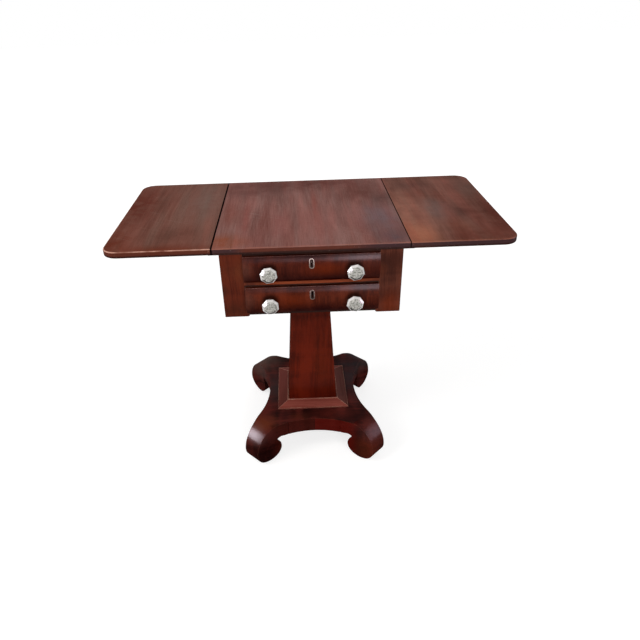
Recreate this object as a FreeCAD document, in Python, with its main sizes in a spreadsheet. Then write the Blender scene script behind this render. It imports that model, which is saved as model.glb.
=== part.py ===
import FreeCAD, Part
import math
import os
from types import SimpleNamespace

import Sketcher

# Drop-leaf work table in mahogany: two leaves on rule joints, two drawers with glass knobs,
# a tapering square column on a concave-sided platform with four scroll feet.
# The frame is millimetres, X across the leaves, -Y to the front, +Z up,
# with the origin on the floor under the middle of the column.

SIZES = {
    # top
    "table_tall": 730,
    "top_thick": 16,
    "top_deep": 507,
    "leaf_wide": 260,
    "leaf_corner": 38,
    "edge_round": 3.5,
    "edge_ease": 2,
    "seam_out": 15.7,
    "rule_step": 3.5,
    "rule_gap": 0.4,
    "seam_gap": 0.9,
    "pin_height": 3,
    # table hinges
    "barrel_radius": 2.9,
    "hinge_pin_radius": 1.4,
    "pin_play": 0.05,
    "flap_thick": 2,
    "hinge_long": 42,
    "hinge_place": 150,
    "table_flap_wide": 34,
    "leaf_flap_wide": 62,
    "knuckle_play": 0.3,
    "mortise_play": 0.1,
    # case
    "case_half": 218,
    "front_overhang": 1.5,
    "back_overhang": 13.5,
    "post_wide": 54.5,
    "front_post_deep": 30,
    "rear_post_deep": 40,
    "post_drop": 4.5,
    "post_round": 2,
    "toe_out": 7,
    "toe_cove": 7,
    "toe_tall": 15,
    "toe_round": 4,
    "side_thick": 20,
    "side_recess": 2,
    "rail_deep": 45,
    "top_rail_tall": 5,
    "middle_rail_tall": 12.5,
    "upper_room_tall": 68.2,
    "lower_room_tall": 71.2,
    "bottom_thick": 7.6,
    "back_thick": 10,
    "back_recess": 4,
    "runner_reach": 13.5,
    "guide_tall": 14,
    "guide_play": 0.8,
    # fly brackets
    "bracket_thick": 14,
    "bracket_long": 145,
    "bracket_pivot": 70,
    "bracket_tall": 54,
    "bracket_tip_tall": 20,
    "bracket_root_long": 24,
    "bracket_tip_long": 34,
    "bracket_play": 1,
    "bracket_top_play": 0.5,
    "bracket_face_play": 0.4,
    "bracket_pin_radius": 3,
    "bracket_pin_down": 15,
    "bracket_pin_up": 8,
    # drawers
    "front_proud": 5,
    "front_swell": 10.5,
    "front_thick": 22,
    "front_side_play": 0.9,
    "front_low_play": 0.5,
    "upper_front_play": 1.4,
    "lower_front_play": 3,
    "slide_play": 0.3,
    "drawer_side_thick": 10,
    "drawer_side_tall": 60,
    "drawer_back_thick": 9,
    "drawer_back_play": 4,
    "drawer_floor_thick": 6,
    "drawer_floor_rise": 7,
    "groove_deep": 5,
    "groove_play": 0.1,
    # glass knobs and their bolts
    "knob_place": 101.8,
    "knob_radius": 20.8,
    "knob_face_radius": 13.5,
    "knob_back_radius": 14,
    "knob_neck_radius": 8,
    "knob_seat_radius": 10,
    "knob_seat_thick": 3,
    "knob_seat_sink": 1.2,
    "knob_neck_long": 12,
    "knob_flare_long": 8,
    "knob_rim_long": 2.5,
    "knob_bevel_long": 8,
    "bolt_radius": 2.4,
    "bolt_in_glass": 18,
    "nut_across": 10,
    "nut_thick": 5,
    "nut_room": 3,
    # locks and escutcheons
    "keyhole_rise": 15,
    "escutcheon_wide": 12,
    "escutcheon_tall": 23.5,
    "escutcheon_proud": 0.5,
    "escutcheon_deep": 2.5,
    "keyhole_radius": 2.7,
    "keyhole_slot": 1.6,
    "lock_wide": 46,
    "lock_tall": 34,
    "lock_thick": 8,
    "lock_bolt_wide": 14,
    "lock_bolt_thick": 4.6,
    "lock_bolt_tall": 12,
    "lock_bolt_travel": 6,
    "lock_play": 0.2,
    "strike_play": 0.6,
    # column, plinth and cleat
    "column_top_half": 52.3,
    "column_foot_half": 74.8,
    "column_round": 2,
    "cleat_half_wide": 150,
    "cleat_half_deep": 80,
    "cleat_thick": 22,
    "cleat_bevel": 8,
    "tenon_half": 30,
    "plinth_half": 108.6,
    "plinth_tall": 14,
    "plinth_bead": 3,
    "plinth_quirk": 1.5,
    "plinth_step": 4,
    "plinth_play": 0.2,
    # platform and feet
    "platform_top": 123.5,
    "platform_thick": 46.5,
    "front_waist": 157.5,
    "side_waist": 136,
    "tip_front_out": 176,
    "tip_front_fore": 234,
    "tip_side_out": 211,
    "tip_side_fore": 191,
    "foot_root_reach": 175,
    "foot_reach": 284,
    "roll_radius": 42.8,
    "shoulder_radius": 78.5,
    "curl_radius": 36.8,
    "throat_radius": 22,
    "foot_half_wide": 64,
    # screws
    "screw_radius": 1.6,
    "screw_head_radius": 3,
    "screw_head_tall": 1.7,
    "screw_tip": 3,
    "hinge_screw_long": 12,
    "top_screw_long": 18,
    "cleat_screw_long": 27,
    # how far a cutting shape runs past what it cuts
    "overrun": 2,
}

doc = FreeCAD.newDocument("work_table")
sheet = doc.addObject("Spreadsheet::Sheet", "Sizes")
for row, (alias, number) in enumerate(SIZES.items(), start=1):
    sheet.set(f"A{row}", alias)
    sheet.set(f"B{row}", str(number))
    sheet.setAlias(f"B{row}", alias)
doc.recompute()


class Size:
    """A length that knows both its number and the sheet expression that gives it."""

    def __init__(self, number, text):
        self.number = float(number)
        self.text = text

    def __float__(self):
        return self.number

    def __neg__(self):
        return Size(-self.number, f"(-{self.text})")

    def __add__(self, other):
        return Size(self.number + float(other), f"({self.text} + {text_of(other)})")

    def __sub__(self, other):
        return Size(self.number - float(other), f"({self.text} - {text_of(other)})")

    def __mul__(self, other):
        return Size(self.number * float(other), f"({self.text} * {text_of(other)})")

    def __truediv__(self, other):
        return Size(self.number / float(other), f"({self.text} / {text_of(other)})")

    def __rmul__(self, other):
        return self * other


def text_of(value):
    """The expression text of a size or of a plain share."""
    return value.text if isinstance(value, Size) else f"({float(value):.9f})"


def root(value):
    return Size(math.sqrt(value.number), f"sqrt({value.text})")


ZERO = Size(0, "0")
s = SimpleNamespace(**{alias: Size(sheet.get(alias), f"Sizes.{alias}") for alias in SIZES})
kept = []


def bind(thing, name, size):
    """Ties a property to the sheet through a size's expression."""
    thing.setExpression(name, size.text)


def keep(thing):
    """Marks a finished sub-part, which is written to a file named after its label."""
    kept.append(thing)
    return thing


def box(label, x, y, z):
    """A board between two corners: x, y and z each give a low and a high place."""
    board = doc.addObject("Part::Box", label)
    for name, axis, (low, high) in zip(("Length", "Width", "Height"), "xyz", (x, y, z)):
        bind(board, name, high - low)
        bind(board, f"Placement.Base.{axis}", low)
    return board


def rod(label, centre, radius, low, high, axis="z"):
    """A round bar along one axis, from low to high, round a centre given across that axis."""
    bar = doc.addObject("Part::Cylinder", label)
    bind(bar, "Radius", radius)
    bind(bar, "Height", high - low)
    across = [name for name in "xyz" if name != axis]
    turns = {"x": ((0, 1, 0), 90), "y": ((-1, 0, 0), 90), "z": ((0, 0, 1), 0)}
    direction, angle = turns[axis]
    bar.Placement = FreeCAD.Placement(
        FreeCAD.Vector(), FreeCAD.Rotation(FreeCAD.Vector(*direction), angle)
    )
    for name, place in zip(across, centre):
        bind(bar, f"Placement.Base.{name}", place)
    bind(bar, f"Placement.Base.{axis}", low)
    return bar


def joined(label, things):
    """Several solids as one."""
    result = doc.addObject("Part::MultiFuse", label)
    result.Shapes = things
    result.Refine = True
    return result


def grouped(label, things):
    """Several solids that stay separate."""
    result = doc.addObject("Part::Compound", label)
    result.Links = things
    return result


def cut(label, base, tools):
    """The base with every tool's shape taken out of it."""
    result = doc.addObject("Part::Cut", label)
    result.Base = base
    result.Tool = tools[0] if len(tools) == 1 else joined(f"{label}_tools", tools)
    return result


def common(label, base, tool):
    """What two solids share."""
    result = doc.addObject("Part::Common", label)
    result.Base = base
    result.Tool = tool
    return result


def sketch_on(body, role, name, shift=ZERO):
    """A sketch on one of the body's origin planes, moved along the plane's normal."""
    sketch = body.newObject("Sketcher::SketchObject", name)
    plane = next(part for part in body.Origin.OriginFeatures if part.Role == role)
    sketch.AttachmentSupport = [(plane, "")]
    sketch.MapMode = "FlatFace"
    bind(sketch, "AttachmentOffset.Base.z", shift)
    return sketch


def arc_between(start, end, radius, turn):
    """The arc under half a circle from start to end; turn is 1 where it bends left, -1 right."""
    chord = end - start
    across = FreeCAD.Vector(-chord.y, chord.x, 0).normalize() * turn
    depth = math.sqrt(max(radius**2 - (chord.Length / 2) ** 2, 0))
    centre = (start + end) * 0.5 + across * depth
    middle = centre - across * radius
    return Part.Arc(start, middle, end)


def draw(sketch, steps):
    """
    Draws one closed outline. A step is (x, y), a straight run to that corner,
    or (x, y, radius, turn), an arc to it. Every corner is tied to the sheet.
    """
    corners = [FreeCAD.Vector(float(step[0]), float(step[1]), 0) for step in steps]
    first = sketch.GeometryCount
    starts, ends = [], []
    for number, step in enumerate(steps):
        before, here = corners[number - 1], corners[number]
        if len(step) == 2:
            sketch.addGeometry(Part.LineSegment(before, here), False)
            forward = True
        else:
            sketch.addGeometry(arc_between(before, here, float(step[2]), step[3]), False)
            forward = step[3] > 0
        starts.append(1 if forward else 2)
        ends.append(2 if forward else 1)
    for number, step in enumerate(steps):
        edge = first + number
        after = (number + 1) % len(steps)
        sketch.addConstraint(
            Sketcher.Constraint("Coincident", edge, ends[number], first + after, starts[after])
        )
        for kind, place in zip(("DistanceX", "DistanceY"), step[:2]):
            tied = sketch.addConstraint(
                Sketcher.Constraint(kind, -1, 1, edge, ends[number], float(place))
            )
            bind(sketch, f"Constraints[{tied}]", place)
        if len(step) > 2:
            tied = sketch.addConstraint(Sketcher.Constraint("Radius", edge, float(step[2])))
            bind(sketch, f"Constraints[{tied}]", step[2])


def mirrored(steps, side):
    """An outline as it is, or flipped left to right for side -1."""
    return [
        (step[0] * side, step[1]) + tuple(
            part * side if place else part for place, part in enumerate(step[2:])
        )
        for step in steps
    ]


def new_body(label):
    return doc.addObject("PartDesign::Body", label)


def pad(body, sketch, length):
    """Thickens a sketch along its normal."""
    feature = body.newObject("PartDesign::Pad", f"{body.Name}_pad")
    feature.Profile = sketch
    bind(feature, "Length", length)
    sketch.Visibility = False
    return feature


def prism(label, role, steps, low, high):
    """
    A body with a constant section between low and high.
    The normals of the XY and YZ planes point along +Z and +X, that of the XZ plane along -Y.
    """
    body = new_body(label)
    shift = -high if role == "XZ_Plane" else low
    sketch = sketch_on(body, role, f"{label}_outline", shift)
    draw(sketch, steps)
    pad(body, sketch, high - low)
    return body


def edges_where(feature, wanted):
    """The names of a feature's edges whose ends and middle all pass a test."""
    names = []
    for number, edge in enumerate(feature.Shape.Edges, start=1):
        middle = edge.valueAt((edge.FirstParameter + edge.LastParameter) / 2)
        points = [vertex.Point for vertex in edge.Vertexes] + [middle]
        if all(wanted(point) for point in points):
            names.append(f"Edge{number}")
    return names


def fillet(body, wanted, radius):
    """Rounds the body's edges that pass a test."""
    doc.recompute()
    base = body.Tip
    feature = body.newObject("PartDesign::Fillet", f"{body.Name}_fillet")
    feature.Base = (base, edges_where(base, wanted))
    bind(feature, "Radius", radius)
    return feature


touch_share = 0.1


def near(value, size):
    """True where a place is the given size, to well under the smallest clearance."""
    return abs(value - float(size)) < float(s.mortise_play) * touch_share


# Heights and places that several pieces share
top_face = s.table_tall
under = s.table_tall - s.top_thick
half_deep = s.top_deep * 0.5
case_front = half_deep - s.front_overhang
case_back = half_deep - s.back_overhang
seam_place = s.case_half + s.seam_out
pin_high = under + s.pin_height
rule_radius = s.top_thick - s.rule_step - s.pin_height
cove_radius = rule_radius + s.rule_gap
upper_high = under - s.top_rail_tall
upper_low = upper_high - s.upper_room_tall
lower_high = upper_low - s.middle_rail_tall
lower_low = lower_high - s.lower_room_tall
case_low = lower_low - s.bottom_thick
post_foot = case_low - s.post_drop
opening_half = s.case_half - s.post_wide
side_outer = s.case_half - s.side_recess
side_inner = side_outer - s.side_thick
post_back = s.front_post_deep - case_front
rear_post_front = case_back - s.rear_post_deep
rail_back = s.rail_deep - case_front
runner_inner = opening_half - s.runner_reach
pivot_out = side_outer - s.bracket_thick * 0.5 - s.bracket_face_play
front_face = -case_front - s.front_proud
front_back = front_face + s.front_thick
lock_middle = front_back - s.lock_thick * 0.5
SIDES = {"left": -1, "right": 1}
ENDS = {"front": -1, "rear": 1}


def span(first, second):
    """Two places in rising order."""
    return (first, second) if float(first) < float(second) else (second, first)


# Screws, all upright with the head at the bottom
def screws(label, places, length):
    """Countersunk wood screws at (x, y, z of the head's face)."""
    profile = [
        (0, 0),
        (float(s.screw_head_radius), 0),
        (float(s.screw_radius), float(s.screw_head_tall)),
        (float(s.screw_radius), float(length - s.screw_tip)),
        (0, float(length)),
        (0, 0),
    ]
    outline = Part.makePolygon([FreeCAD.Vector(x, 0, z) for x, z in profile])
    one = Part.Face(outline).revolve(FreeCAD.Vector(), FreeCAD.Vector(0, 0, 1), 360)
    group = doc.addObject("Part::Feature", label)
    group.Shape = Part.makeCompound(
        [one.translated(FreeCAD.Vector(*map(float, place))) for place in places]
    )
    return group


table_screw_share = 0.56
leaf_screw_share = 0.62
hinge_screw_spread_share = 0.3
flap_low = pin_high - s.barrel_radius
flap_high = flap_low + s.flap_thick


def hinge_screw_places(side, wide, share):
    """Two screws in each of the two flaps on one side of the table."""
    out = seam_place * side + wide * (share * side)
    return [
        (out, s.hinge_place * end + s.hinge_long * (step * hinge_screw_spread_share), flap_low)
        for end in ENDS.values()
        for step in (-1, 1)
    ]


table_flap_screws = keep(
    screws(
        "hinge_table_screws",
        [
            place
            for side in SIDES.values()
            for place in hinge_screw_places(side, s.table_flap_wide, -table_screw_share)
        ],
        s.hinge_screw_long,
    )
)
leaf_screws = {
    name: keep(
        screws(
            f"leaf_{name}_hinge_screws",
            hinge_screw_places(side, s.leaf_flap_wide, leaf_screw_share),
            s.hinge_screw_long,
        )
    )
    for name, side in SIDES.items()
}
kicker_screw_shares = (-0.7, 0, 0.8)
kicker_middle = (runner_inner + side_inner) * 0.5
top_screws = screws(
    "top_screws",
    [
        (kicker_middle * side, rear_post_front * share, upper_high)
        for side in SIDES.values()
        for share in kicker_screw_shares
    ],
    s.top_screw_long,
)
cleat_screw_out_share = 0.78
cleat_screw_fore_share = 0.5
cleat_screws = screws(
    "cleat_screws",
    [
        (
            s.cleat_half_wide * (cleat_screw_out_share * side),
            s.cleat_half_deep * (cleat_screw_fore_share * end),
            case_low - s.cleat_thick,
        )
        for side in SIDES.values()
        for end in ENDS.values()
    ],
    s.cleat_screw_long,
)
keep(grouped("case_screws", [top_screws, cleat_screws]))


# Table hinges: knuckles in thirds, the outer two on the table's flap
def knuckle_spans(middle):
    """The three knuckles' places along the hinge pin: front, middle, rear."""
    third = s.hinge_long * (1 / 3)
    low = middle - s.hinge_long * 0.5
    gap = s.knuckle_play * 0.5
    return [
        (low, low + third - gap),
        (low + third + gap, low + third * 2 - gap),
        (low + third * 2 + gap, low + s.hinge_long),
    ]


def hinge_flap(label, side, middle, wide, outward, knuckles, bore, own_screws):
    """A flap with its knuckles; outward is 1 for the leaf's flap and -1 for the table's."""
    seam = seam_place * side
    reach = side * outward
    whole = (middle - s.hinge_long * 0.5, middle + s.hinge_long * 0.5)
    near_edge = seam + (s.barrel_radius + s.knuckle_play) * reach
    far_edge = seam + wide * reach
    pieces = [box(f"{label}_plate", span(near_edge, far_edge), whole, (flap_low, flap_high))]
    for number in knuckles:
        along = knuckle_spans(middle)[number]
        tongue = span(seam, near_edge + s.knuckle_play * reach)
        pieces.append(box(f"{label}_tongue_{number}", tongue, along, (flap_low, flap_high)))
        pieces.append(
            rod(f"{label}_knuckle_{number}", (seam, pin_high), s.barrel_radius, *along, axis="y")
        )
    hole = rod(f"{label}_bore", (seam, pin_high), bore, *whole, axis="y")
    return cut(label, joined(f"{label}_solid", pieces), [hole, own_screws])


table_flaps, hinge_pins, leaf_flaps = [], [], {name: [] for name in SIDES}
for name, side in SIDES.items():
    for end_name, end in ENDS.items():
        middle = s.hinge_place * end
        corner = f"{name}_{end_name}"
        table_flaps.append(
            hinge_flap(
                f"table_flap_{corner}",
                side,
                middle,
                s.table_flap_wide,
                -1,
                (0, 2),
                s.hinge_pin_radius,
                table_flap_screws,
            )
        )
        leaf_flaps[name].append(
            hinge_flap(
                f"leaf_flap_{corner}",
                side,
                middle,
                s.leaf_flap_wide,
                1,
                (1,),
                s.hinge_pin_radius + s.pin_play,
                leaf_screws[name],
            )
        )
        hinge_pins.append(
            rod(
                f"hinge_pin_{corner}",
                (seam_place * side, pin_high),
                s.hinge_pin_radius,
                middle - s.hinge_long * 0.5,
                middle + s.hinge_long * 0.5,
                axis="y",
            )
        )
    keep(grouped(f"leaf_{name}_hinge_flaps", leaf_flaps[name]))
keep(grouped("hinge_table_flaps", table_flaps))
keep(grouped("hinge_pins", hinge_pins))

# Fly brackets' pins, which the side panels and the centre board hold
bracket_pins = [
    rod(
        f"bracket_pin_{name}",
        (pivot_out * side, s.bracket_pivot),
        s.bracket_pin_radius,
        under - s.bracket_tall - s.bracket_pin_down,
        under + s.bracket_pin_up,
    )
    for name, side in SIDES.items()
]
keep(grouped("bracket_pins", bracket_pins))


# Centre board of the top: a rule joint's rounded edge on each side
def top_board():
    foot = root(rule_radius * rule_radius - s.pin_height * s.pin_height)
    steps = [
        (seam_place + foot, under),
        (seam_place, pin_high + rule_radius, rule_radius, 1),
        (seam_place, top_face),
        (-seam_place, top_face),
        (-seam_place, pin_high + rule_radius),
        (-seam_place - foot, under, rule_radius, 1),
    ]
    board = prism("top_board_blank", "XZ_Plane", steps, -half_deep, half_deep)
    fillet(
        board,
        lambda point: near(point.z, top_face) and near(abs(point.y), half_deep),
        s.edge_round,
    )
    room = root(s.barrel_radius * s.barrel_radius * 2) + s.knuckle_play
    tools = []
    for name, side in SIDES.items():
        for end_name, end in ENDS.items():
            seam = seam_place * side
            middle = s.hinge_place * end
            half = s.hinge_long * 0.5 + s.mortise_play
            along = (middle - half, middle + half)
            far = seam - (s.table_flap_wide + s.mortise_play) * side
            tools.append(
                box(
                    f"flap_mortise_{name}_{end_name}",
                    span(far, seam),
                    along,
                    (under - s.overrun, flap_high + s.mortise_play),
                )
            )
            tools.append(
                box(
                    f"barrel_room_{name}_{end_name}",
                    span(seam - room * side, seam + (rule_radius + s.overrun) * side),
                    along,
                    (under - s.overrun, pin_high + s.barrel_radius + s.knuckle_play),
                )
            )
    tools += [table_flap_screws, top_screws] + bracket_pins
    return cut("top_board", board, tools)


keep(top_board())


# Leaves: the rule joint's hollow on the inner edge, two rounded corners on the outer
def leaf(name, side):
    seam = seam_place
    outer = seam_place + s.leaf_wide
    lip_low = pin_high + root(cove_radius * cove_radius - s.seam_gap * s.seam_gap)
    steps = [
        (seam + cove_radius, under),
        (outer, under),
        (outer, top_face),
        (seam + s.seam_gap, top_face),
        (seam + s.seam_gap, lip_low),
        (seam + cove_radius, pin_high, cove_radius, -1),
    ]
    board = prism(
        f"leaf_{name}_blank", "XZ_Plane", mirrored(steps, side), -half_deep, half_deep
    )
    fillet(
        board,
        lambda point: near(abs(point.x), outer) and near(abs(point.y), half_deep),
        s.leaf_corner,
    )
    rim = seam_place + s.leaf_wide * 0.5

    def on_rim(point, level, straight_in):
        out_there = abs(point.x) > float(straight_in)
        return near(point.z, level) and (out_there or near(abs(point.y), half_deep))

    fillet(
        board,
        lambda point: on_rim(point, top_face, rim),
        s.edge_round,
    )
    fillet(
        board,
        lambda point: on_rim(point, under, rim),
        s.edge_ease,
    )
    tools = [leaf_screws[name]]
    for end_name, end in ENDS.items():
        middle = s.hinge_place * end
        half = s.hinge_long * 0.5 + s.mortise_play
        tools.append(
            box(
                f"leaf_mortise_{name}_{end_name}",
                span(
                    (seam + s.seam_gap) * side,
                    (seam + s.leaf_flap_wide + s.mortise_play) * side,
                ),
                (middle - half, middle + half),
                (under - s.overrun, flap_high + s.mortise_play),
            )
        )
    return cut(f"leaf_{name}", board, tools)


for name, side in SIDES.items():
    keep(leaf(name, side))


# Case posts: the front pair ends in a small toe below the bottom board
def front_post(name, side):
    inner = opening_half
    toe = inner - s.toe_out
    steps = [
        (s.case_half, under),
        (inner, under),
        (inner, post_foot + s.toe_tall),
        (toe, post_foot + s.toe_tall - s.toe_cove, s.toe_cove, -1),
        (toe, post_foot + s.toe_round),
        (toe + s.toe_round, post_foot, s.toe_round, 1),
        (s.case_half, post_foot),
    ]
    post = prism(
        f"front_post_{name}", "XZ_Plane", mirrored(steps, side), -case_front, post_back
    )
    fillet(
        post,
        lambda point: near(abs(point.x), s.case_half) and near(point.y, -case_front),
        s.post_round,
    )
    return post


for name, side in SIDES.items():
    keep(front_post(name, side))
    keep(
        box(
            f"rear_post_{name}",
            span(s.case_half * side, opening_half * side),
            (rear_post_front, case_back),
            (post_foot, under),
        )
    )


# Fly brackets: an ogee lower edge, and the same outline cut in the side panel
def bracket_outline(grow):
    """The bracket's side view, larger all round by grow; Y to the right, Z up."""
    top = under - s.bracket_top_play + grow
    low = under - s.bracket_tall - grow
    tip_low = under - s.bracket_tip_tall - grow
    pivot_end = s.bracket_pivot + s.bracket_thick * 0.5 + grow
    tip = s.bracket_pivot - s.bracket_long - grow
    curve_start = s.bracket_pivot - s.bracket_root_long
    curve_end = s.bracket_pivot - s.bracket_long + s.bracket_tip_long
    run = curve_start - curve_end
    rise = tip_low - low
    bend = (run * run + rise * rise) / (rise * 4)
    return [
        (pivot_end, top),
        (tip, top),
        (tip, tip_low),
        (curve_end, tip_low),
        ((curve_start + curve_end) * 0.5, (low + tip_low) * 0.5, bend, -1),
        (curve_start, low, bend, 1),
        (pivot_end, low),
    ]


def bracket(name, side):
    inner = (pivot_out - s.bracket_thick * 0.5) * side
    outer = (pivot_out + s.bracket_thick * 0.5) * side
    blade = prism(
        f"bracket_blade_{name}", "YZ_Plane", bracket_outline(ZERO), *span(inner, outer)
    )
    low = under - s.bracket_tall
    straight = box(
        f"bracket_straight_{name}",
        span(inner, outer),
        (s.bracket_pivot - s.bracket_long, s.bracket_pivot),
        (low, under),
    )
    rounded = rod(
        f"bracket_round_{name}",
        (pivot_out * side, s.bracket_pivot),
        s.bracket_thick * 0.5,
        low,
        under,
    )
    plan = joined(f"bracket_plan_{name}", [straight, rounded])
    hole = rod(
        f"bracket_bore_{name}",
        (pivot_out * side, s.bracket_pivot),
        s.bracket_pin_radius + s.pin_play,
        low,
        under,
    )
    return cut(f"fly_bracket_{name}", common(f"bracket_form_{name}", blade, plan), [hole])


def side_panel(name, side):
    panel = box(
        f"side_blank_{name}",
        span(side_inner * side, side_outer * side),
        (post_back, rear_post_front),
        (case_low, under),
    )
    floor = (pivot_out - s.bracket_thick * 0.5 - s.bracket_face_play) * side
    pocket = prism(
        f"bracket_pocket_{name}",
        "YZ_Plane",
        bracket_outline(s.bracket_play),
        *span(floor, (side_outer + s.overrun) * side),
    )
    pin = bracket_pins[0] if side < 0 else bracket_pins[1]
    return cut(f"side_panel_{name}", panel, [pocket, pin])


for name, side in SIDES.items():
    keep(bracket(name, side))
    keep(side_panel(name, side))

# Back panel between the rear posts
back_outer = case_back - s.back_recess
back_inner = back_outer - s.back_thick
keep(
    box(
        "back_panel",
        (-opening_half, opening_half),
        (back_inner, back_outer),
        (case_low, under),
    )
)


# Rails across the front, each with the mortise that the lock bolt below it enters
def rail(label, low, high, strike):
    board = box(
        f"{label}_board", (-opening_half, opening_half), (-case_front, rail_back), (low, high)
    )
    half = s.lock_bolt_wide * 0.5 + s.strike_play
    deep = s.lock_bolt_thick * 0.5 + s.strike_play
    slot = box(
        f"{label}_strike",
        (-half, half),
        (lock_middle - deep, lock_middle + deep),
        (strike - s.overrun, strike + s.lock_bolt_travel),
    )
    return cut(label, board, [slot])


keep(rail("top_rail", upper_high, under, upper_high))
keep(rail("middle_rail", lower_high, upper_low, lower_high))


# Bottom board: fills the space between the posts and carries the lower drawer
def bottom_board():
    toe = opening_half - s.toe_out
    half = [
        (toe, -case_front),
        (toe, post_back),
        (side_inner, post_back),
        (side_inner, rear_post_front),
        (opening_half, rear_post_front),
        (opening_half, back_inner),
    ]
    steps = half + [(-x, y) for x, y in reversed(half)]
    board = prism("bottom_board_blank", "XY_Plane", steps, case_low, lower_low)
    return cut("bottom_board", board, [cleat_screws])


keep(bottom_board())

# Runners and kickers beside the drawers, and guides that keep the drawers straight
runners, kickers, guides = [], [], []
for name, side in SIDES.items():
    inward = span(runner_inner * side, side_inner * side)
    along = (rail_back, rear_post_front)
    runners.append(box(f"runner_{name}", inward, along, (lower_high, upper_low)))
    kickers.append(
        cut(
            f"kicker_{name}",
            box(f"kicker_blank_{name}", inward, along, (upper_high, under)),
            [top_screws],
        )
    )
    beside = span((opening_half + s.guide_play) * side, side_inner * side)
    for level, low in {"upper": upper_low, "lower": lower_low}.items():
        guides.append(
            box(f"guide_{level}_{name}", beside, along, (low, low + s.guide_tall))
        )
keep(grouped("upper_runners", runners))
keep(grouped("kickers", kickers))
keep(grouped("drawer_guides", guides))


# Pressed-glass knobs: eight sides, a flat face inside eight bevels.
# Each one was screwed up to its own turn, given in degrees.
KNOB_SIDES = 8
KNOB_TURNS = {"upper": {"left": 30, "right": 34}, "lower": {"left": 27, "right": 11}}


def knob(label, out, seat, high, turn):
    """A knob built along +Z and turned to point along -Y, with its seat at the given place."""
    flare = s.knob_seat_thick + s.knob_neck_long
    rim = flare + s.knob_flare_long
    bevel = rim + s.knob_rim_long
    face = bevel + s.knob_bevel_long
    levels = (
        (flare, s.knob_back_radius),
        (rim, s.knob_radius),
        (bevel, s.knob_radius),
        (face, s.knob_face_radius),
    )
    rings = []
    for number, (rise, radius) in enumerate(levels):
        ring = doc.addObject("Part::RegularPolygon", f"{label}_ring_{number}")
        ring.Polygon = KNOB_SIDES
        bind(ring, "Circumradius", radius)
        bind(ring, "Placement.Base.z", rise)
        rings.append(ring)
    head = doc.addObject("Part::Loft", f"{label}_head")
    head.Sections = rings
    head.Solid = True
    head.Ruled = True
    centre = (ZERO, ZERO)
    foot = rod(f"{label}_foot", centre, s.knob_seat_radius, ZERO, s.knob_seat_thick)
    neck = rod(f"{label}_neck", centre, s.knob_neck_radius, s.knob_seat_thick, flare)
    hole = rod(f"{label}_hole", centre, s.bolt_radius, ZERO, s.bolt_in_glass)
    glass = cut(label, joined(f"{label}_solid", [head, foot, neck]), [hole])
    tip = FreeCAD.Rotation(FreeCAD.Vector(1, 0, 0), 90)
    spin = FreeCAD.Rotation(FreeCAD.Vector(0, 0, 1), turn)
    glass.Placement = FreeCAD.Placement(FreeCAD.Vector(), tip.multiply(spin))
    for axis, place in zip("xyz", (out, seat, high)):
        bind(glass, f"Placement.Base.{axis}", place)
    return glass


def nut_blank(label, out, high, back):
    """A square nut."""
    half = s.nut_across * 0.5
    return box(label, (out - half, out + half), (back - s.nut_thick, back), (high - half, high + half))


# Drawer fronts: a swelled face, grooved for the floor and bored for knobs and lock
def swell_radius(tall):
    half = tall * 0.5
    return (half * half + s.front_swell * s.front_swell) / (s.front_swell * 2)


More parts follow.
